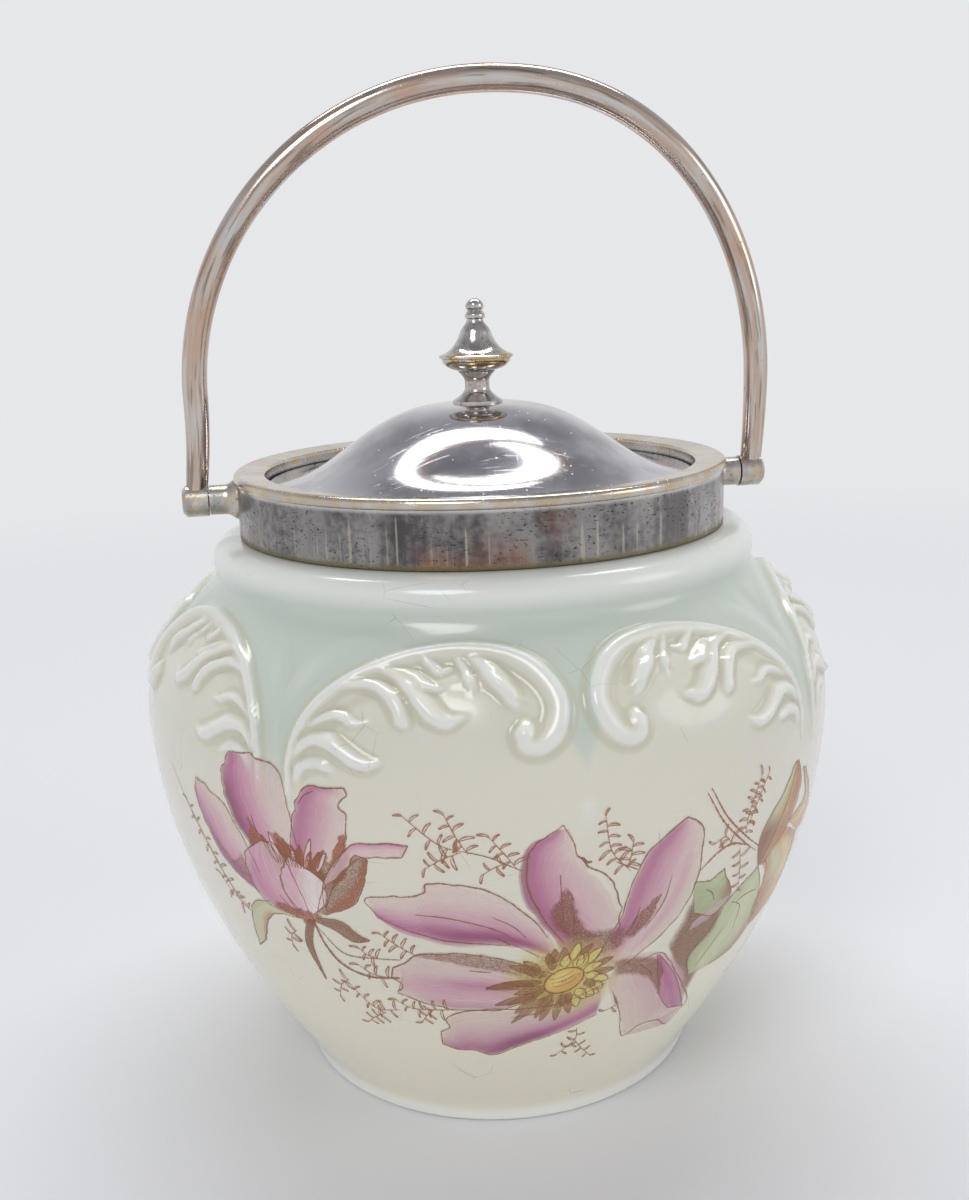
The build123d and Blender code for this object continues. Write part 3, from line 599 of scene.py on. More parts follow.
def open_bloom(spray):
    """The flower that faces the viewer: six petals round a ring of stamens."""
    slip = (-0.7, -0.6)
    spray.wash([(4, 50), (0.4, 58), (-3.4, 66), (-4, 73), (-2.6, 77.2), (1.4, 80.4)],
               [(13, 51), (12.2, 57), (9.6, 65), (5.8, 71.4), (4.2, 75.4), (2.8, 80)], blush, 0.42,
               [(rose, 0.42, 0.5, 0.24, -0.2, 1.2, 0.6), (mauve, 0.15, 0.2, 0.24, -0.2, 1.2, 0.85),
                (plum, 0.02, 0.05, 0.13, 0.2, 0.85, 0.5), (rose, 0.8, 0.75, 0.12, 0.3, 0.8, 0.25)], layer=0,
               slip=slip, line=0)
    edge = spray.torn([(2, 55), (-1.5, 62), (-3.4, 69), (-3, 76), (1.5, 80.3)], 70, 0.15)
    spray.line(edge, 0.34)
    edge = spray.torn([(1.5, 80.3), (3, 76.5), (3.6, 73.8), (4.5, 73.2), (5, 71.8), (8.2, 68), (10.2, 62.5),
                       (9.8, 56)], 70, 0.3)
    spray.line(edge, 0.34)
    spray.line([(3.6, 73.9), (4.8, 72.4), (5.6, 72.4)], 0.8, pressure=(0.3, 1, 0.4), smooth=8)
    spray.wash([(7, 49), (10.5, 59), (12, 67), (13.6, 71), (17, 74.5), (20.2, 77.6)],
               [(12, 46), (20.5, 55), (23.5, 64), (23.3, 72), (22.8, 74.5), (21.8, 76.4)], blush, 0.42,
               [(rose, 0.36, 0.44, 0.18, -0.1, 0.95, 0.6), (mauve, 0.14, 0.14, 0.2, 0.1, 1.0, 0.85),
                (rose, 0.72, 0.75, 0.08, 0.15, 0.8, 0.5)], layer=1, torn=0.3, line=0.32)
    spray.wash([(2, 50), (-0.6, 60), (-8, 68.4), (-16.8, 70.4), (-18.6, 68), (-26.4, 65.8)],
               [(4, 50.6), (-5, 55.6), (-14, 56.2), (-21, 58.4), (-25, 61.6)], blush, 0.42,
               [(rose, 0.5, 0.56, 0.22, 0.1, 1.2, 0.5), (mauve, 0.75, 0.82, 0.2, 0.0, 1.2, 0.85),
                (plum, 0.84, 0.8, 0.11, 0.2, 0.7, 0.65)], layer=3, slip=(-0.4, -0.7), line=0)
    spray.line(spray.torn([(-0.5, 56.8), (-3, 61.6), (-9, 68), (-17, 69.6), (-18.4, 67), (-26.4, 65.4),
                           (-25, 61.2)], 110, 0.12), 0.34)
    spray.line(spray.torn([(-25, 61.2), (-20, 58.4), (-14, 56.6), (-6, 55.8)], 60, 0.1), 0.28)
    spray.wash([(1, 47.4), (-6.6, 52), (-14, 53.6), (-20.5, 52.6), (-22.5, 50.4), (-24.4, 49)],
               [(0, 41.6), (-9, 38.6), (-17, 39.2), (-24.5, 42), (-23.6, 44.5), (-25, 46.5)], blush, 0.5,
               [(rose, 0.6, 0.66, 0.24, -0.2, 0.85, 0.6), (mauve, 0.5, 0.55, 0.09, -0.2, 0.6, 0.55),
                (mauve, 0.95, 0.92, 0.08, -0.2, 0.65, 0.5)], layer=4, torn=0.3)
    spray.wash([(10, 43), (3, 39.5), (-4, 38.6), (-12, 39), (-17, 36.2), (-16.6, 33.5), (-18.6, 32)],
               [(9.5, 34), (3, 30.4), (-4, 27.5), (-9.5, 24.5), (-13, 26), (-16, 26.4), (-18.8, 28)], blush,
               0.42, [(rose, 0.6, 0.7, 0.3, -0.2, 1.2, 0.55), (mauve, 0.75, 0.95, 0.2, -0.2, 1.0, 0.85),
                      (plum, 0.86, 0.9, 0.16, 0.28, 0.66, 0.7)], layer=5)
    spray.wash([(10, 44), (11.5, 38), (14.5, 31), (17, 24.5)],
               [(13, 49), (19.5, 47.3), (27, 38.5), (31.5, 27)], blush, 0.45,
               [(rose, 0.5, 0.55, 0.22, 0.2, 0.9, 0.4), (rose, 0.95, 0.9, 0.2, 0.3, 1.2, 0.5)],
               layer=2, line=0)
    spray.line(spray.torn([(11.5, 40), (14.2, 33), (17, 24.5), (20.8, 26.4), (25.5, 25.2), (29.5, 21.8),
                           (31.5, 25), (32.3, 28), (25.5, 38), (19.4, 47.2), (15.5, 46.6)], 150, 0.14), 0.32)
    spray.wash([(17, 24.5), (19, 23.5)], [(31.5, 27), (30, 21.8)], blush, 0.5,
               [(rose, 0.8, 0.8, 0.3, -0.2, 1.2, 0.4)], layer=1, line=0, rows=8)
    spray.wash([(18.6, 47), (20, 41), (22.6, 34), (26.4, 28.6)], [(19, 47), (24, 39.6), (29, 31), (32, 26.4)],
               rose, 0.7, [(mauve, 0.6, 0.5, 0.35, -0.2, 1.2, 0.85)], layer=6, torn=0.1, line=0.3)

    # The brown dots at the roots of the petals: a patch's two edges, its cover and its layer
    for left, right, cover, layer in (
            ([(2.5, 55), (-0.4, 61), (1.5, 68)], [(10.5, 55), (6, 57), (2.4, 67.5)], 0.7, 7),
            ([(2, 55), (6, 57.6), (12, 57)], [(3, 49), (8, 50), (12, 52)], 0.55, 7),
            ([(11, 54), (13, 58.4), (16.8, 63)], [(13, 53), (16, 57), (17.2, 63)], 0.62, 7),
            ([(1, 51), (-4, 54.5), (-8.5, 57.6)], [(2, 47), (-1.5, 52), (-7, 56.6)], 0.6, 7),
            ([(-1, 50), (-8, 53), (-15, 54.3), (-21.5, 53)],
             [(-2, 45), (-6.5, 48), (-13, 50.6), (-20, 52.4)], 0.5, 8),
            ([(9.5, 49), (16, 48), (20, 45), (22.6, 35)],
             [(11, 44), (15, 43), (19, 39.6), (22, 34)], 0.66, 8)):
        spray.wash(left, right, umber, cover, stipple=1.0, layer=layer, torn=0.25, line=0, soft=0.2)
    for vein in ([(-19.5, 62.6), (-14.5, 62), (-8.5, 59.6), (-4.8, 56.5)],
                 [(-8.5, 62.2), (-5.6, 60), (-3.7, 57.2)], [(1.1, 70.4), (1.3, 66), (1.8, 60)],
                 [(3.2, 61.2), (3.4, 58)], [(18.4, 66), (17.6, 60.4), (15, 55)],
                 [(13.6, 60.5), (13, 57.5), (12.6, 56)], [(15.4, 46), (18, 43), (18.6, 41.5)],
                 [(-12.4, 49.6), (-9, 49)], [(-6, 36.4), (-2, 37), (0.6, 38)]):
        spray.line(vein, 0.26, smooth=24)

    heart = np.array((2.5, 45.5)) * flat
    turns = np.linspace(0, 2 * np.pi, 41)
    ring = np.stack([np.cos(turns), np.sin(turns)], -1)
    spray.wash((heart + ring * (13.5, 11.5)) / flat, (heart + ring * 1.5) / flat, yellow, 0.0,
               [(yellow, 0.8, 0.8, 0.5, -0.3, 1.3, 0.95)], layer=9, torn=0.0, line=0, rows=60, columns=12)
    spray.wash((heart + ring * (8.6, 7.6)) / flat, (heart + ring * 2.5) / flat, umber, 0.2,
               [(umber, 0.6, 0.6, 0.3, 0.3, 0.85, 0.35)], stipple=1.0, layer=10, torn=0.0, line=0,
               rows=60, columns=10)
    # Two rings of anthers, longer and browner on the shaded side: how many, how far out, how long
    shaded_side = np.radians(205)
    for row, (count, near, reach) in enumerate(((23, 5.6, 4.2), (15, 4.0, 3.4))):
        for turn in np.arange(count) * 2 * np.pi / count + spray.draw.uniform(-0.14, 0.14, count):
            toward = np.cos(turn - shaded_side)
            dark = spray.draw.uniform() < 0.25 + 0.75 * smooth_step(toward, -0.5, 0.3)
            base = heart + near * np.array((np.cos(turn) * 1.15, np.sin(turn) * 0.9))
            length = reach * (1 + 1.2 * max(toward, 0) ** 1.5) * spray.draw.uniform(0.7, 1.2)
            ink, cover, stipple = (tan, 0.66, 0.6) if dark else (yellow, 0.8, 0.0)
            lean = spray.draw.uniform(-0.25, 0.25)
            spray.anther(base, turn + lean, length, 1.7 if dark else 2.3, ink, cover, stipple, 11 + row)
    heart_tilt = 0.35
    tilted = turned(ring * (4.3, 3.1), heart_tilt)
    spray.wash((heart + tilted) / flat, (heart + tilted * 0.04) / flat, amber, 0.95,
               [(yellow, 0.6, 0.6, 0.4, 0.1, 0.6, 0.8), (ochre, 0.2, 0.2, 0.3, 0.6, 0.95, 0.6)], layer=13,
               torn=0.0, line=0, rows=41, columns=8)
    spray.line((heart + tilted) / flat, 0.34, pressure=(1, 1))
    for shift in (-1.1, 0.0, 1.1):
        mark = np.stack([np.linspace(-2.6, 2.6, 9), shift + 0.15 * np.linspace(-2, 2, 9) ** 2], -1)
        spray.line((heart + turned(mark, heart_tilt)) / flat, 0.2, rust)


def side_bloom(spray):
    """The flower seen from the side, with its bulb, sepals and stem."""
    spray.wash([(-45.5, 71.7), (-48.3, 76), (-50, 81), (-50, 86), (-48.5, 90)],
               [(-36.5, 73), (-37.2, 79), (-38, 85.4), (-39.4, 88.8), (-44, 90.8)], blush, 0.4,
               [(rose, 0.45, 0.4, 0.22, -0.2, 1.1, 0.75), (mauve, 0.2, 0.18, 0.2, -0.2, 1.1, 0.9),
                (plum, 0.04, 0.0, 0.14, -0.1, 0.75, 0.8), (plum, 0.12, 0.05, 0.1, 0.15, 0.6, 0.5)],
               layer=0, line=0.3)
    spray.wash([(-38, 71), (-37.3, 77), (-36, 83), (-34, 86.4), (-31, 87.4)],
               [(-31, 71), (-28.8, 76), (-28.3, 82), (-29.2, 84), (-28, 85.8), (-27.8, 87.2)], blush, 0.45,
               [(rose, 0.45, 0.5, 0.24, -0.2, 1.0, 0.6), (mauve, 0.15, 0.15, 0.26, -0.2, 1.1, 0.85)],
               layer=1, torn=0.28)
    spray.wash([(-46, 61), (-49, 62.4), (-52.3, 65), (-55.2, 69.4), (-57.4, 75.5), (-58.2, 79.4)],
               [(-45, 66), (-46.5, 71), (-48.6, 75.4), (-50.4, 79), (-53.5, 80.6), (-57.2, 82.2)], blush, 0.5,
               [(rose, 0.3, 0.4, 0.3, -0.2, 1.2, 0.7), (mauve, 0.1, 0.1, 0.2, -0.2, 1.2, 0.8),
                (plum, 0.08, 0.0, 0.14, 0.0, 0.7, 0.6)], layer=2)
    # Brown dots inside the petals: a patch's two edges, its ink, its cover and its layer
    brown = dict(stipple=0.9, torn=0.3, line=0, soft=0.16)
    for left, right, ink, cover, layer in (
            ([(-46.8, 66), (-46.5, 71), (-46, 74), (-45.6, 78.4)],
             [(-38, 66), (-39, 70.5), (-42.4, 73.6), (-45, 77)], rust, 0.8, 3),
            ([(-42, 66), (-41.6, 72), (-40.6, 77)], [(-31, 66), (-32.6, 70), (-37, 73)], rust, 0.9, 4),
            ([(-34, 67), (-31.8, 71), (-29.8, 78.4)], [(-31, 66.6), (-28.7, 71), (-28.3, 78.6)],
             rust, 0.88, 4),
            ([(-34.5, 65), (-34.2, 72), (-32.6, 74)], [(-31, 65.6), (-31.4, 70), (-31.6, 74)],
             umber, 0.6, 4)):
        spray.wash(left, right, ink, cover, layer=layer, **brown)
    for number, turn in enumerate(np.radians(np.linspace(60, 118, 15))):
        base = np.array((-37.4, 66)) * flat + (9 * np.cos(turn), 3.5)
        length = spray.draw.uniform(4.0, 7.5)
        ink = rust if number % 4 else blush
        spray.anther(base, turn + spray.draw.uniform(-0.15, 0.15), length, 1.3, ink, 0.85, 0.3, 5)
    spray.wash([(-33.8, 62), (-33, 67.5), (-29, 74.8), (-26.8, 76.8), (-19.6, 77.2)],
               [(-33.6, 61), (-31, 68.4), (-27.4, 73), (-25, 74), (-20.6, 74.6)], blush, 0.55,
               [(rose, 0.1, 0.1, 0.3, 0.5, 1.2, 0.7), (mauve, 0.0, 0.0, 0.14, 0.6, 1.2, 0.7)],
               layer=6, torn=0.14)
    spray.wash([(-35.4, 59.6), (-33.2, 66), (-29.6, 70), (-27.4, 74.4)],
               [(-33.8, 59.8), (-28.6, 63.6), (-26.4, 69), (-25.6, 73.6)], umber, 0.55,
               [(rust, 0.85, 0.9, 0.3, -0.2, 1.2, 0.85)], stipple=0.8, layer=7, torn=0.1, line=0.3)
    spray.wash([(-40.5, 58), (-45, 58.8), (-47.6, 63), (-47.6, 68.6), (-46.6, 70.4)],
               [(-36.6, 58.6), (-37.6, 64), (-39, 70), (-41, 73.8), (-43.4, 73.6)], blush, 0.6,
               [(rose, 0.4, 0.4, 0.34, -0.2, 1.2, 0.75), (mauve, 0.15, 0.2, 0.2, -0.2, 0.8, 0.6)],
               layer=8, torn=0.14)
    spray.wash([(-38.6, 58.4), (-40.6, 63), (-40.4, 68), (-38.6, 71.6)],
               [(-36, 59.4), (-33.4, 62.6), (-33, 66.6), (-34.6, 69)], blush, 0.72,
               [(rose, 0.2, 0.25, 0.2, -0.2, 1.0, 0.55), (paint(240, 232, 228), 0.8, 0.75, 0.3, 0, 1.2, 0.7)],
               layer=9, torn=0.16)
    spray.wash([(-44, 58.6), (-40, 57.4), (-37, 56)], [(-43, 60.4), (-38, 60), (-34, 59.6)], rust, 0.75,
               layer=10, **brown)
    spray.wash([(-48.2, 70), (-51, 66.6), (-54.6, 71)], [(-46.6, 63), (-50, 64.4), (-54, 69.4)], umber, 0.45,
               layer=10, **brown)
    for vein in ([(-41, 66.6), (-40.6, 63), (-38, 58.4)], [(-42, 62), (-40.4, 60), (-38.6, 58.6)],
                 [(-44.6, 78.6), (-44, 74.8)], [(-35.6, 83), (-34.6, 84.8), (-33, 86)]):
        spray.line(vein, 0.26, smooth=24)
    sepal = dict(stipple=0.35, torn=0.06, line=0.26)
    spray.wash([(-37.4, 58), (-38.9, 54), (-39.4, 50), (-38.2, 42.4)],
               [(-36, 58), (-37.4, 54), (-38.2, 50), (-38, 42.4)], umber, 0.75, layer=11, **sepal)
    spray.wash([(-35.6, 58.8), (-31.4, 59), (-29.2, 56.6), (-27.2, 55.5)],
               [(-36, 57.6), (-32.8, 56.4), (-30.2, 54.4), (-27.4, 55.2)], sepia, 0.72, layer=11, **sepal)
    spray.wash([(-38.6, 57.6), (-43.4, 57), (-46.4, 54.4), (-49.4, 48)],
               [(-44.6, 59.6), (-48.4, 58), (-50.6, 54), (-52.6, 45)], paint(224, 222, 186), 0.6,
               [(rust, 0.1, 0.0, 0.3, 0.35, 1.2, 0.7), (olive, 0.95, 1.0, 0.2, 0, 1.2, 0.4)],
               layer=9, torn=0.1)
    spray.line([(-36.4, 57.6), (-35.4, 52), (-33.2, 47.8), (-29, 45.9), (-23.6, 46.6)], 0.75,
               pressure=(0.6, 1, 0.8, 0.6), smooth=70)
    spray.line([(-36, 56.4), (-32.4, 51), (-27, 51), (-22.8, 51.4)], 0.3, smooth=50)


def leaf_group(spray):
    """The leaves, the twig and the dark mass behind the open flower."""
    brown = dict(torn=0.2, line=0, soft=0.14)
    spray.wash([(20, 49), (22, 55), (23.4, 62)], [(30, 28), (31, 40), (31, 52), (32, 57)], umber, 0.78,
               stipple=0.7, layer=0, **brown)
    spray.wash([(23, 61), (23.2, 62.6), (26, 61.8), (28.8, 63.4)],
               [(24, 55), (29, 52.5), (32, 56), (29.6, 61.4)], leaf_green, 0.7,
               [(leaf_green * 0.8, 0.4, 0.4, 0.3, 0.1, 0.6, 0.6), (umber, 0.7, 0.9, 0.3, 0.55, 1.2, 0.8)],
               layer=1, torn=0.12)
    spray.wash([(24, 52.4), (28, 55), (32, 56)], [(24, 50.6), (28, 52), (32.6, 55)], blush, 0.5,
               layer=2, **brown)
    spray.wash([(28, 37), (26, 43.6), (29.5, 48.6), (32, 54.6), (38, 59.6)],
               [(33.6, 37), (40.6, 38), (43.6, 42), (43, 48), (40, 56)], leaf_green, 0.72,
               [(paint(222, 220, 178), 0.4, 0.5, 0.3, 0, 1, 0.6), (rust, 0.95, 0.9, 0.14, -0.1, 0.6, 0.8)],
               layer=3, torn=0.14)
    spray.wash([(38, 59.6), (36.6, 64.6), (37.6, 69), (42.6, 75), (45.2, 79.4)],
               [(39.4, 59), (45, 64), (48, 69), (48.6, 74), (46.4, 79)], ochre, 0.6,
               [(leaf_green, 0.2, 0.1, 0.26, 0.3, 1.2, 0.85), (umber, 0.2, 0.3, 0.45, -0.2, 0.45, 1.0),
                (rust, 0.8, 0.8, 0.3, 0.6, 1.1, 0.85), (rust, 0.9, 0.9, 0.2, 0.2, 0.5, 0.8)],
               layer=4, torn=0.2)
    spray.wash([(39.4, 60), (42, 55), (41.6, 48), (43.6, 42)], [(45, 65), (52, 60), (54, 52), (53.6, 44)],
               ochre, 0.62, [(leaf_green, 0.35, 0.3, 0.2, -0.1, 0.6, 0.8),
                             (rust, 0.2, 0.2, 0.24, 0.45, 1.2, 0.8), (yellow, 0.7, 0.7, 0.2, 0.1, 0.7, 0.7),
                             (rust, 1.0, 1.0, 0.14, 0, 1, 0.7)], layer=5, torn=0.2)
    spray.wash([(46, 66), (52, 68.5), (49, 76.5)], [(52, 60), (58, 62.6), (50, 76)], ochre, 0.6,
               [(rust, 0.6, 0.6, 0.3, 0.2, 0.7, 0.7), (yellow, 0.3, 0.3, 0.3, 0, 1, 0.6)], layer=6, torn=0.2)
    for vein in ([(38.6, 60), (41.4, 66), (44, 72), (45.6, 78)], [(29, 39), (31.6, 44), (33, 47)],
                 [(33, 53.6), (36, 51), (36.6, 45)], [(34.4, 53), (37, 53.6), (40, 53)],
                 [(40, 60), (41.4, 57.6), (41.8, 54)], [(25.6, 60), (27.2, 58.4), (28, 56.4)]):
        spray.line(vein, 0.26, smooth=24)
    twig = np.array([(24, 81.6), (27.6, 74.4), (32.4, 68.4), (36.4, 64.4)])
    for shift in (-0.35, 0.35):
        spray.line(twig + shift, 0.42, rust, smooth=60)
    spray.line([(23.6, 65), (26.6, 67.6), (29.6, 68.4), (33.4, 66.6)], 0.5, rust, smooth=40)
    spray.sprig([(32.4, 68.6), (32.8, 74), (35.2, 81)], 14, 2.0)
    spray.sprig([(32.8, 71), (34.6, 75.6), (37, 80.8)], 10, 1.6)
    spray.sprig([(29.6, 68.4), (28, 70.6), (26, 70)], 5, 2.2)
    spray.sprig([(31.6, 66.8), (32.6, 62), (33.6, 56.4)], 8, 2.0)


def loose_sprigs(spray):
    """Fine sprigs between the flowers."""
    spray.line([(-12.1, 76.2), (-8.6, 74.9), (-4.2, 71.9)], 0.28, smooth=24)
    spray.line([(9, 71.6), (12.6, 69)], 0.28, smooth=12)
    for stem, leaflets in (
            ([(-12.1, 76.1), (-15.5, 77.6), (-20.3, 83)], 8),
            ([(-11.4, 75.6), (-12.8, 78.6), (-14.5, 83.4)], 8),
            ([(-12.4, 76), (-15, 74.6), (-17.4, 72.6)], 8), ([(-5, 72.6), (-6.6, 75.6), (-8.6, 79)], 8),
            ([(-6.4, 73.6), (-8, 72.8), (-9.4, 71.6)], 4), ([(11.4, 69), (8.4, 74), (7.4, 81.4)], 13),
            ([(11, 70), (11.4, 72.6), (11.6, 75)], 6), ([(-20.4, 53), (-22.6, 54.6), (-25.4, 57.4)], 8),
            ([(-26.4, 51), (-28.2, 51.6), (-29.4, 53)], 6), ([(-25, 46.4), (-28, 46.6), (-30.4, 48.6)], 6),
            ([(-15.6, 38.7), (-19, 38.5), (-22.8, 38.4), (-25.4, 40.4)], 10),
            ([(-19, 38.4), (-20.6, 36.4), (-21.4, 34.8)], 5), ([(-25, 37.4), (-29.8, 37), (-33.4, 42.8)], 10),
            ([(-28, 36), (-31, 33.6), (-32.4, 32)], 7), ([(6.2, 31), (6.3, 27), (3.2, 22.8)], 7),
            ([(6.4, 27), (8, 24), (10.8, 20.4)], 6), ([(13.6, 36), (12, 35), (11, 34.6)], 3),
            ([(-52, 55), (-55, 62), (-57.6, 68), (-62, 76)], 14),
            ([(-50.4, 54.6), (-54.4, 58), (-56, 61)], 6), ([(-40.6, 54), (-42, 52.4), (-42.6, 50)], 6),
            ([(-33, 44), (-35, 42), (-36.4, 38.4)], 6)):
        spray.sprig(stem, leaflets)
    spray.line([(-50, 54), (-54, 60), (-60, 72), (-66, 82)], 0.24, smooth=60)


def fired_enamel():
    """Washes streaked along each petal, and brown made of fine dots, as glossy as the glass."""
    film = Finish("fired_enamel", Roughness=0.24, IOR=1.5, Coat_Weight=0.35, Coat_Roughness=0.08)
    cover, stipple = film.read("cover"), film.read("stipple")
    streak = film.noise(0.7, 3, (12, 1, 1), place=film.read("grain", "Vector"))
    dots = (film.noise(0.26, 1, shift=4) + (cover - 0.5) * 0.4).rise(0.4, 0.64)
    streaked, dotted = cover * (0.68 + 0.64 * streak), cover * 0.4 + dots * 0.46
    film.set(Base_Color=film.read("ink", "Color"), Alpha=streaked * (1 - stipple) + dotted * stipple)
    return film.material


front = Spray(seed=5)
for part in (leaf_group, open_bloom, side_bloom, loose_sprigs):
    part(front)
behind = Spray(seed=11, centre=(-40, 66), seat=(192, 60), scale=(-0.85, 0.85))
side_bloom(behind)
behind.centre, behind.seat = np.array((34, 60)), np.array((160, 58))
leaf_group(behind)
behind.scale = np.array((0.9, 0.9))
for stem, leaflets in (
        ([(30, 54), (24, 50), (18, 50)], 9), ([(30, 50), (25, 44), (20, 40)], 9),
        ([(52, 62), (60, 66), (68, 70)], 9), ([(50, 56), (58, 52), (66, 52)], 9),
        ([(40, 74), (36, 80), (30, 84)], 8)):
    behind.sprig(stem, leaflets)
enamel = fired_enamel()
front.piece("front_spray", enamel)
behind.piece("back_spray", enamel)

# ==== Plaster bed =============================================================================
# A ring of plaster, run in between the glass neck and the band, that holds the collar on. It shows
# only with the collar off.


def set_plaster():
    """Off-white, faintly grained plaster."""
    plaster = Finish("set_plaster", Roughness=0.9)
    grain = plaster.noise(0.6, 4)
    plaster.set(Base_Color=plaster.mix(grain, paint(214, 207, 190), paint(232, 227, 214)))
    plaster.rough_up(grain, 0.1)
    return plaster.material


def dress(node, material):
    """Gives a CAD node its material."""
    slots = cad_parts[node].data.materials
    slots.clear()
    slots.append(material)


dress("plaster_bed", set_plaster())

# ==== Collar ==================================================================================
# Spun from one sheet of nickel silver and plated: a plain band, a bead rolled round its top, a
# sloping shelf, and the well whose ledge carries the lid. Age has left the band pitted and grey with
# tarnish, its grey deepened by a painted dark reflection and painted lighter to the right, with the
# copper of the strike plate showing in patches and brass on the bead.

collar_sheet, bead_radius = 0.7, 1.2
collar_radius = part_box("collar")[1].x / mm - bead_radius / 2
band_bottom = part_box("collar")[0].z / mm
bead_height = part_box("collar")[1].z / mm - bead_radius
well_radius, ledge_radius = 47.2, 43.6
ledge_top = 131.75
shelf_fall, well_round = 0.5, 0.6


def wrap_faces(rows, columns):
    """The quads of a turned ring, whose last row of points joins its first."""
    i, j = np.arange(rows)[:, None], np.arange(columns)[None]
    down, k = (i + 1) % rows * columns, (j + 1) % columns
    return np.stack([i * columns + j, i * columns + k, down + k, down + j], -1).reshape(-1, 4)


def dented(points, depth, seed):
    """Points pushed in and out by slow waves, as spun metal is after years of use: depth times the
    sum of sin(k azimuth + slope z + phase) / k, for a few k."""
    x, y, z = points.T
    draw = np.random.default_rng(seed)
    wave = np.zeros(len(points))
    for k in (1, 2, 3, 5, 8):
        a, b, c = draw.uniform(-1, 1, 3)
        wave += np.sin(k * (np.arctan2(x, -y) + 3 * a) + z * (0.12 + 0.2 * b) + 6 * c) / k
    out = points * (1, 1, 0)
    out /= np.maximum(np.linalg.norm(out, axis=1), 1)[:, None]
    return points + out * (wave * depth)[:, None]


bead_centre = collar_radius - bead_radius / 2
bead_turn = np.radians(np.linspace(-58, 88, 18))
bead = np.stack([bead_centre + bead_radius * np.cos(bead_turn),
                 bead_height + bead_radius * np.sin(bead_turn)], -1)
shelf_top = bead_height + bead_radius
well_top = shelf_top - shelf_fall
well_outside, ledge_under = well_radius + collar_sheet, ledge_top - collar_sheet
shelf = np.linspace((bead_centre - 0.4, shelf_top - 0.06), (well_radius + well_round, well_top), 8)
collar_outline = np.vstack([
    (collar_radius - 0.1, band_bottom), (collar_radius, band_bottom + 0.15),
    np.linspace((collar_radius, band_bottom + 1), (collar_radius, bead_height - 1.4), 12), bead, shelf,
    quarter_round((well_radius + well_round, well_top - well_round), well_round, 90)[1:],
    (well_radius, ledge_top + 1.0), (well_radius, ledge_top + 0.1), (well_radius - 0.1, ledge_top),
    (ledge_radius, ledge_top), (ledge_radius, ledge_under), (well_outside, ledge_under),
    (well_outside, well_top - collar_sheet), (bead_centre - 0.5, shelf_top - 1.1),
    (collar_radius - collar_sheet, bead_height - 1.2), (collar_radius - collar_sheet, band_bottom)])
collar_columns = 360
collar = add_piece("collar_spun", dented(turn_rings(collar_outline, collar_columns), depth=0.03, seed=3),
                   [wrap_faces(len(collar_outline), collar_columns)], "jar")
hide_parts("collar")


class Plate(Finish):
    """Old silver plate, with the colours that it tarnishes to and wears through to."""
    silver, grey, black = paint(214, 211, 206), paint(142, 136, 132), paint(58, 52, 50)
    brass, copper = paint(206, 170, 104), paint(184, 122, 96)

    def cylinder(self):
        """Place as (mm round the band, mm outwards, height), so that marks can follow the band."""
        x, y, z = (self.axis(name) for name in "XYZ")
        turn = x.maths("ARCTAN2", x, 0 - y) * collar_radius
        return self.node("ShaderNodeCombineXYZ", {}, {0: turn, 2: z}), turn, z


def collar_plate():
    """Mottled plate on the band, with pits, upright scratches, runs of dried polish and a dull seam along
    its foot, and a bright bead, shelf and well. The band's grey is partly tarnish and partly a painted
    dark reflection, painted lighter towards the right."""
    plate = Plate("collar_plate", Metallic=1.0)
    round_band, turn, height = plate.cylinder()
    band = height.rise(bead_height - 1.0, bead_height - 2.0)
    column = plate.noise(7, 2, (1, 1, 40), 13, round_band)
    cloud = plate.noise(11, 4, place=round_band)
    mottle = plate.noise(1.6, 5, place=round_band, shift=7)
    tarnish_and_dark_reflection = (column * 0.9 + mottle * 0.5 + cloud * 0.4).rise(0.72, 1.05)
    patch = turn.rise(-22, -17) * turn.rise(3, -1) * (height * 0.06 + cloud).rise(8.3, 7.6)
    stain = plate.noise(22, 2, place=round_band, shift=11).rise(0.56, 0.68) * 0.3
    pits = plate.noise(0.6, 2, (1.6, 1, 0.8), 2, round_band).rise(0.58, 0.66)
    pits = pits * plate.noise(9, 3, place=round_band, shift=4).rise(0.42, 0.56)
    gold = plate.noise(5, 3, place=round_band, shift=21).rise(0.3, 0.7)
    gold = gold * height.rise(bead_height - 1.2, bead_height - 0.4)
    fall = plate.noise(1.1, 1, (1, 1, 60), 31, round_band)
    drip_top = (fall - 0.5) * 30 + plate.noise(6, 2, (1, 1, 60), 17, round_band) * 14 - 4
    drips = fall.rise(0.57, 0.66) * (height - band_bottom - drip_top).rise(1.0, -1.0) * band
    scratch = plate.noise(0.8, 2, (0.3, 1, 9), 5, round_band).rise(0.66, 0.74) * band
    seam = (height - band_bottom - plate.noise(1.3, 3, place=round_band, shift=41) * 2.2).rise(0.3, -0.6)
    colour = plate.over(
        plate.silver * 0.95, (cloud.rise(0.38, 0.62), plate.silver * 0.78),
        # the band's darkening is partly tarnish and partly a painted dark reflection; the turn term paints it
        # lighter towards the right
        (band * (0.6 + 0.38 * tarnish_and_dark_reflection - turn.rise(8, 34) * 0.16), paint(84, 80, 82)),
        (band * (patch * 0.9 + stain), paint(146, 88, 60)), (pits * band * 0.8, plate.black),
        (gold * 0.6, plate.brass), (drips * 0.5 + scratch * 0.45, paint(206, 196, 176)),
        (seam * 0.7, paint(150, 138, 104)))
    rough = 0.13 + band * 0.05 + mottle * 0.12 + pits * 0.25 + (drips + seam) * 0.3
    plate.set(Base_Color=colour, Roughness=rough)
    plate.rough_up(mottle * 0.4 - pits + drips * 0.8 - scratch * 0.5, 0.03)
    return plate.material


collar.data.materials.append(collar_plate())

# ==== Lugs, pins and knuckles =================================================================
# Turned lugs soldered to the band, with the bail's pins pressed into them, and the short barrels
# at the bail's ends that swing on the pins.


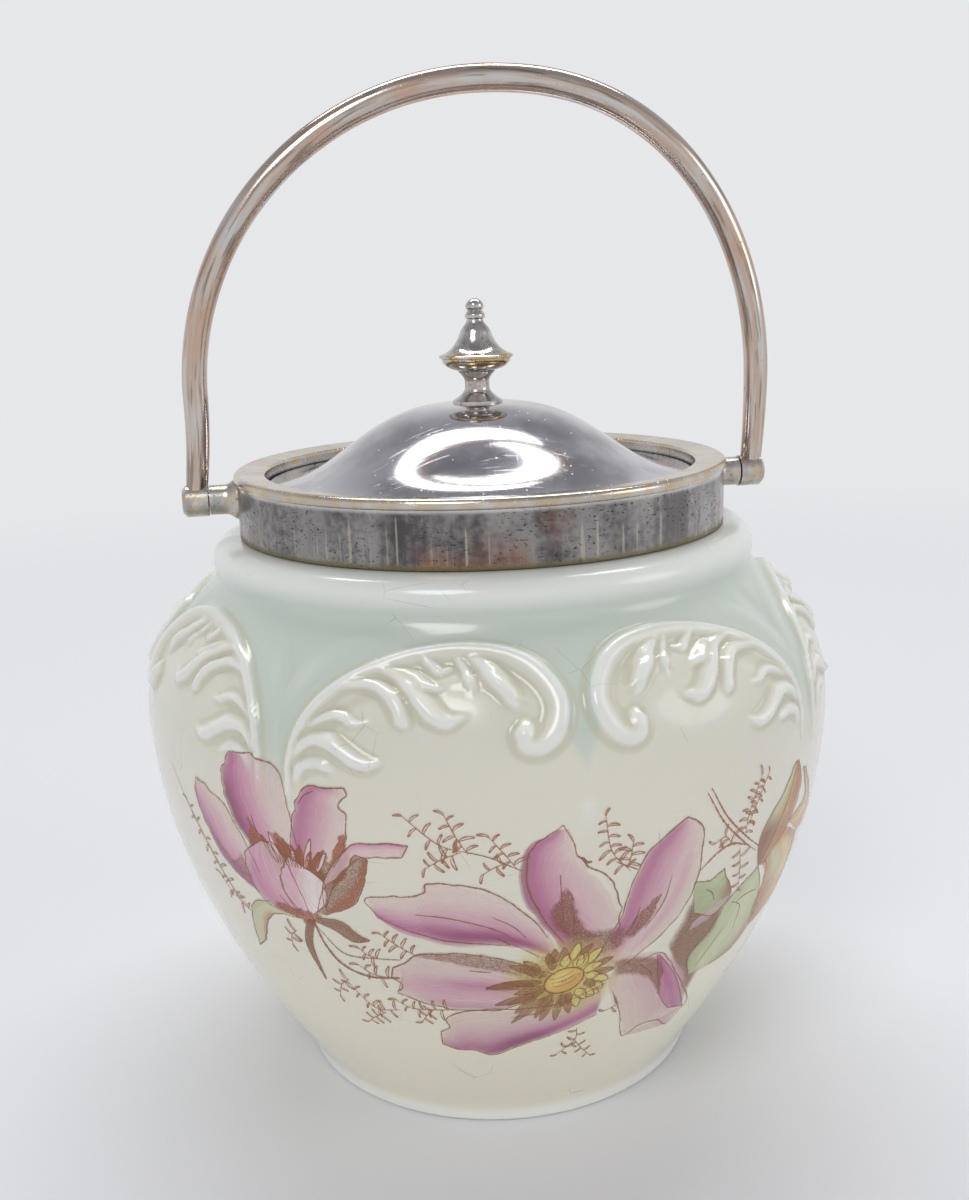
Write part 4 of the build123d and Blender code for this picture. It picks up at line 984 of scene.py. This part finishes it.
def turned_plate(name, tone, warmth):
    """Small turned parts: duller plate, warm where fingers and the bail have rubbed it."""
    plate = Plate(name, Metallic=1.0)
    cloud, spots = plate.noise(3.5, 4), plate.noise(0.7, 3, shift=5)
    colour = plate.over(plate.silver * tone, (cloud.rise(0.35, 0.65) * 0.6, plate.grey),
                        (plate.noise(2.5, 3, shift=9).rise(0.45, 0.65) * warmth, plate.brass),
                        (spots.rise(0.6, 0.7) * 0.5, plate.black))
    plate.set(Base_Color=colour, Roughness=0.18 + cloud * 0.25)
    plate.rough_up(spots, 0.03)
    return plate.material


lug_finish, knuckle_finish = turned_plate("lug_plate", 0.85, 0.35), turned_plate("knuckle_plate", 0.95, 0.5)
for side in ("right", "left"):
    dress("lug_" + side, lug_finish)
    dress("pivot_pin_" + side, lug_finish)
    dress("knuckle_" + side, knuckle_finish)

# ==== Bow of the bail =========================================================================
# A drawn rod, thicker at the crown than at its ends, bent by hand to a tall arch and brazed onto
# the knuckles. Handling has worn the plate through to warm metal, in streaks along the rod.

pivot_height = 129.8
leg_length, arch_rise, crown_shift, knuckle_span = 22.0, 63.2, 4.5, 62.35
arch_foot = pivot_height + leg_length
bow_spans, bow_fullness = {-1: 60.6, 1: 63.5}, {-1: 1.0, 1: 0.88}   # the right side is the fuller
end_radius, leg_radius, crown_radius = 2.3, 2.65, 2.9   # of the rod


def rod_along(path, radii, columns):
    """A round rod whose sections stand square to a path in the XZ plane, row after row:
    path + radius (cos b n + sin b y), with n the path's normal in that plane."""
    along = np.gradient(path, axis=0)
    along /= np.linalg.norm(along, axis=1)[:, None]
    side = np.stack([along[:, 1], -along[:, 0]], -1)
    b = 2 * np.pi * np.arange(columns) / columns
    section = path[:, None] + (radii[:, None] * np.cos(b))[..., None] * side[:, None]
    return np.stack([section[..., 0], -radii[:, None] * np.sin(b), section[..., 1]], -1).reshape(-1, 3)


def half_bow(side, count):
    """The path from a knuckle to the crown: a leg that is a shallow arc, then a quarter ellipse whose
    cosine is raised to the fullness. Also the rod's radius along it."""
    t = np.linspace(0, 1, count // 4, endpoint=False)
    span = bow_spans[side]
    leg = np.stack([side * (span + (knuckle_span - span) * (1 - t) ** 2), pivot_height + leg_length * t], -1)
    a = np.linspace(0, np.pi / 2, count)
    reach = np.cos(np.minimum(a, np.pi / 2 - 1e-6)) ** bow_fullness[side]
    arch_x = crown_shift + (side * span - crown_shift) * reach
    arch = np.stack([arch_x, arch_foot + arch_rise * np.sin(a)], -1)
    radii = np.concatenate([end_radius + (leg_radius - end_radius) * t,
                            leg_radius + (crown_radius - leg_radius) * 2 * a / np.pi])
    return np.vstack([leg, arch]), radii


arch_rows, bow_round = 110, 40
(left_path, left_radii), (right_path, right_radii) = half_bow(-1, arch_rows), half_bow(1, arch_rows)
bow_path = np.vstack([left_path, right_path[-2::-1]])
bow_radii = np.concatenate([left_radii, right_radii[-2::-1]])
bow_points = rod_along(bow_path, bow_radii, bow_round)
ends = np.arange(bow_round)
bow = add_piece("bail_rod", bow_points, [ring_faces(len(bow_path), bow_round), ends[None, ::-1],
                                         len(bow_points) - bow_round + ends[None]], "bail")
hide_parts("bail_bow")
run = np.append(0, np.cumsum(np.linalg.norm(np.diff(bow_path, axis=0), axis=1)))
add_values(bow, "run", np.repeat(run, bow_round))
add_values(bow, "round", np.tile(np.abs(2 * ends / bow_round - 1), len(bow_path)))


def bail_plate():
    """Warm, streaky plate: long streaks along the rod and short dark nicks across it."""
    plate = Plate("bail_plate", Metallic=1.0)
    run, turn = plate.read("run"), plate.read("round")
    half_round = 9.0   # millimetres from the outer side of the rod to the inner, round its crown
    place = plate.node("ShaderNodeCombineXYZ", {}, {0: run, 1: turn * half_round})
    streak = plate.noise(1.4, 4, (16, 1, 1), 0, place)
    cloud = plate.noise(14, 3, place=place, shift=9)
    dark = plate.noise(0.9, 3, (14, 1, 1), 3, place).rise(0.52, 0.66)
    nicks = plate.noise(0.8, 2, (0.6, 2, 1), 7, place).rise(0.68, 0.76)
    colour = plate.over(plate.silver * 0.9, (streak.rise(0.35, 0.6), paint(198, 176, 160)),
                        (cloud.rise(0.45, 0.7) * 0.4, paint(200, 154, 122)),
                        (dark * 0.6, plate.grey * 0.45), (nicks * 0.6, plate.black))
    plate.set(Base_Color=colour, Roughness=0.1 + streak * 0.16)
    plate.rough_up(streak * 0.4 - nicks, 0.03)
    return plate.material


bow.data.materials.append(bail_plate())

# ==== Lid =====================================================================================
# Spun like the collar: a narrow flat flange, a hollow that sweeps up into a dome, and a small flat
# top under the finial. It was polished most often, so it is still a mirror, scratched and dusty.

lid_rim, lid_sheet, lid_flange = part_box("lid")[1].x / mm, 0.8, 2.2
flange_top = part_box("lid")[0].z / mm + lid_sheet
seat_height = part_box("lid")[1].z / mm
seat_radius, stud_hole = 6.0, 1.65
dome_foot = np.array((lid_rim - lid_flange, flange_top))
seat_edge = np.array((seat_radius, seat_height))
dome = np.array([dome_foot, dome_foot + (-13.5, 0.4), seat_edge + (19.5, 0), seat_edge])
upper = np.vstack([(lid_rim, flange_top - 0.3), (lid_rim - 0.2, flange_top), bezier(dome, 90),
                   (stud_hole, seat_height)])
lid_outline = np.vstack([upper, (upper[::-1] - (0, lid_sheet))[:-2], (lid_rim, flange_top - lid_sheet)])
lid_columns = 360
lid = add_piece("lid_dome", dented(turn_rings(lid_outline, lid_columns), depth=0.02, seed=8),
                [wrap_faces(len(lid_outline), lid_columns)], "lid")
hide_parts("lid")


def lid_plate():
    """Bright plate with turning lines, fine scratches, grey bloom, and a scatter of dust, tinted faintly
    violet as a painted reflection of dark surroundings.
    """
    plate = Plate("lid_plate", Metallic=1.0)
    x, y, z = (plate.axis(name) for name in "XYZ")
    cloud = plate.noise(12, 4)
    fine_cloud = plate.noise(2.5, 4, shift=6)
    square = x * x + y * y
    radius = square.maths("SQRT", square)
    rings = plate.noise(0.7, 2, place=plate.node("ShaderNodeCombineXYZ", {}, {0: radius}))
    dust = plate.dots(2.2, shift=2).rise(0.11, 0.05) * plate.noise(5, 2, shift=4).rise(0.40, 0.55)
    # the faint violet in the plate's colour is a painted reflection of dark blue surroundings
    colour = plate.over(paint(200, 197, 202), (cloud.rise(0.4, 0.68) * 0.6, paint(138, 134, 137)),
                        (z.rise(seat_height - 1, seat_height) * 0.15, plate.brass),
                        (dust, paint(236, 236, 232)))
    scratch = plate.noise(1.0, 2, (9, 0.4, 9), 1).rise(0.66, 0.72)
    scratch = scratch + plate.noise(1.0, 2, (0.4, 9, 9), 2).rise(0.67, 0.73)
    rough = 0.07 + cloud * 0.06 + dust * 0.5 + scratch * 0.12
    plate.set(Base_Color=colour, Metallic=1 - dust * 0.9, Roughness=rough)
    plate.rough_up(rings * 0.25 + fine_cloud * 0.3 + dust - scratch * 0.3, 0.012)
    return plate.material


lid.data.materials.append(lid_plate())

# ==== Finial ==================================================================================
# Two turned pieces, foot and bell, pinched together on the lid by a stud, a washer and a nut. The
# plate has worn to brass on the thin flange, and copper shows a little in the neck of the foot.


def path_of(*stretches):
    """An outline from its stretches: a pair is a point, a block of four is a Bezier's handles."""
    return np.vstack([bezier(s, 12) if np.ndim(s) == 2 else [s] for s in stretches])


def flowing(start, end, leave, arrive):
    """Bezier handles that stand off the two ends by shares of the width and the height between."""
    start, end = np.array(start), np.array(end)
    return np.array([start, start + (end - start) * leave, end - (end - start) * arrive, end])


foot_high = 9.7
foot_outline = path_of(
    (5.5, 0.0), flowing((5.5, 0.5), (2.7, 3.4), (0.46, 0.28), (0, 0.41)),
    flowing((2.7, 4.4), (4.25, 7.0), (0, 0.54), (0.32, 0.31)),
    flowing((4.25, 7.0), (7.6, foot_high), (0.6, 0.15), (0, 0.48)))
bell_outline = path_of(
    (8.0, 0.0), (8.1, 0.12), (8.1, 0.5), (8.0, 0.62),
    flowing((7.2, 0.9), (3.4, 5.4), (0.58, 0.18), (0.16, 0.35)),
    flowing((3.4, 5.4), (1.8, 8.2), (0.31, 0.5), (0.12, 0.43)),
    (2.15, 8.45), (2.2, 8.6), (2.2, 9.1), (2.1, 9.25), (1.6, 10.0),
    np.array([(1.55, 10.1), (2.7, 10.725), (1.55, 12.6), (0.02, 12.6)]))
finial_columns = 96
finial_seats = {"finial_foot": seat_height, "finial_bell": seat_height + foot_high}
finial_outlines = {"finial_foot": foot_outline, "finial_bell": bell_outline}


def finial_plate():
    """Bright on the swells, brassy on the flange, coppery in the foot's neck, and specked with black."""
    plate = Plate("finial_plate", Metallic=1.0)
    z = plate.axis("Z") - seat_height
    cloud, spots = plate.noise(2.2, 4), plate.noise(0.5, 3, shift=3)
    flange, hollow = z.rise(7.2, 9.0) * z.rise(11.4, 10.0), z.rise(2.2, 3.6) * z.rise(6.4, 4.8)
    colour = plate.over(plate.silver * 0.9, (cloud.rise(0.4, 0.65) * 0.5, plate.grey),
                        (flange * cloud.rise(0.35, 0.6) * 0.8, plate.brass), (hollow * 0.2, plate.copper),
                        (spots.rise(0.58, 0.7) * 0.6, plate.black))
    plate.set(Base_Color=colour, Roughness=0.08 + cloud * 0.14)
    plate.rough_up(spots + cloud, 0.02)
    return plate.material


finial_finish = finial_plate()
for name, outline in finial_outlines.items():
    rings = turn_rings(outline + (0, finial_seats[name]), finial_columns)
    cap = np.arange(finial_columns)[None]
    piece = add_piece(name + "_turned", rings,
                      [ring_faces(len(outline), finial_columns), cap[:, ::-1],
                       len(rings) - finial_columns + cap], "lid")
    piece.data.materials.append(finial_finish)
    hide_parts(name)


def raw_brass():
    """Unplated brass, dull inside the lid."""
    brass = Plate("raw_brass", Metallic=1.0)
    cloud = brass.noise(2, 3)
    brass.set(Base_Color=brass.mix(cloud, brass.brass, paint(150, 118, 70)), Roughness=0.3 + cloud * 0.2)
    return brass.material


brass_finish = raw_brass()
for node in ("finial_stud", "finial_washer", "finial_nut"):
    dress(node, brass_finish)

# ==== Stage ===================================================================================
# A plain pale floor that fades into a pale ground, three soft lamps and the camera. None of it is
# part of the jar.

floor_size = 12.0
floor_mesh = bpy.data.meshes.new("floor")
floor_corners = [(x * floor_size, y * floor_size, 0) for x, y in ((-1, -1), (1, -1), (1, 1), (-1, 1))]
floor_mesh.from_pydata(floor_corners, [], [(0, 1, 2, 3)])
floor = bpy.data.objects.new("floor", floor_mesh)
bpy.context.scene.collection.objects.link(floor)


class Backdrop(Finish):
    """The pale ground that the camera and every gloss see, on the floor far out and in the world."""

    def __init__(self, tree):
        self.tree = tree

    def seen(self):
        """1 for what the camera or a reflection sees, 0 for what only lights."""
        camera_ray, glossy_ray = (self.node("ShaderNodeLightPath", output=f"Is {kind} Ray")
                                  for kind in ("Camera", "Glossy"))
        return camera_ray + glossy_ray


horizon, zenith = (0.79, 0.80, 0.82), (0.34, 0.35, 0.38)
fade_start, fade_end = 120, 900   # millimetres from the jar's axis
floor_finish = Finish("floor", Roughness=0.75)
floor_finish.set(Base_Color=paint(232, 233, 236))
ground = Backdrop(floor_finish.tree)
distance = floor_finish.node("ShaderNodeVectorMath", {"operation": "LENGTH"}, {0: floor_finish.place},
                             output="Value")
glow = floor_finish.node("ShaderNodeEmission", {}, {"Color": horizon})
blend = floor_finish.tree.nodes.new("ShaderNodeMixShader")
ground.feed(blend.inputs["Fac"], distance.rise(fade_start, fade_end) * ground.seen())
floor_finish.tree.links.new(floor_finish.shader.outputs[0], blend.inputs[1])
ground.feed(blend.inputs[2], glow)
floor_finish.tree.links.new(blend.outputs[0], floor_finish.tree.nodes["Material Output"].inputs["Surface"])
floor_mesh.materials.append(floor_finish.material)

world = bpy.data.worlds.new("studio")
bpy.context.scene.world = world
world.use_nodes = True
sky = Backdrop(world.node_tree)
background = world.node_tree.nodes["Background"].inputs
skyward = sky.node("ShaderNodeSeparateXYZ", {}, {0: sky.node("ShaderNodeTexCoord")}, output="Z")
sky.feed(background["Color"], sky.mix(skyward.rise(0.15, 0.95), horizon, zenith))
sky.feed(background["Strength"], 0.8 + 0.2 * sky.seen())


def soft_lamp(name, place, aim, size, power):
    """An elliptical lamp of that size, in metres, turned towards aim."""
    lamp = bpy.data.lights.new(name, "AREA")
    lamp.shape, lamp.size, lamp.size_y, lamp.energy = "ELLIPSE", *size, power
    holder = bpy.data.objects.new(name, lamp)
    bpy.context.scene.collection.objects.link(holder)
    holder.location = place
    holder.rotation_mode = "QUATERNION"
    direction = Vector(aim) - Vector(place)
    holder.rotation_quaternion = direction.to_track_quat("-Z", "Y")


soft_lamp("overhead", (0.08, 0.41, 1.15), (0, 0, 0.14), (1.3, 0.24), 7.0)
soft_lamp("key", (-0.5, -0.9, 1.1), (0, 0, 0.1), (0.6, 0.6), 4.5)
soft_lamp("fill", (1.2, -0.6, 0.6), (0, 0, 0.1), (0.7, 0.7), 2.0)

focal_length, sensor, near_clip = 39.0, 36.0, 0.01
camera_place = (-0.0401, -0.2851, 0.1742)
pitch, roll, yaw = np.radians((13.83, -1.99, 8.0))
forward = np.array((np.sin(yaw) * np.cos(pitch), np.cos(yaw) * np.cos(pitch), -np.sin(pitch)))
level = np.array((np.cos(yaw), -np.sin(yaw), 0))
upright = np.cross(level, forward)
camera_right = level * np.cos(roll) + upright * np.sin(roll)
camera_up = upright * np.cos(roll) - level * np.sin(roll)
camera = bpy.data.objects.new("camera", bpy.data.cameras.new("camera"))
bpy.context.scene.collection.objects.link(camera)
camera.data.lens, camera.data.sensor_width = focal_length, sensor
camera.data.clip_start = near_clip
camera_axes = np.stack([camera_right, camera_up, -forward], 1)
camera_rows = [[*axes, place] for axes, place in zip(camera_axes, camera_place)]
camera.matrix_world = Matrix(camera_rows + [[0, 0, 0, 1]])
bpy.context.scene.camera = camera
bpy.context.scene.view_settings.view_transform = "Standard"
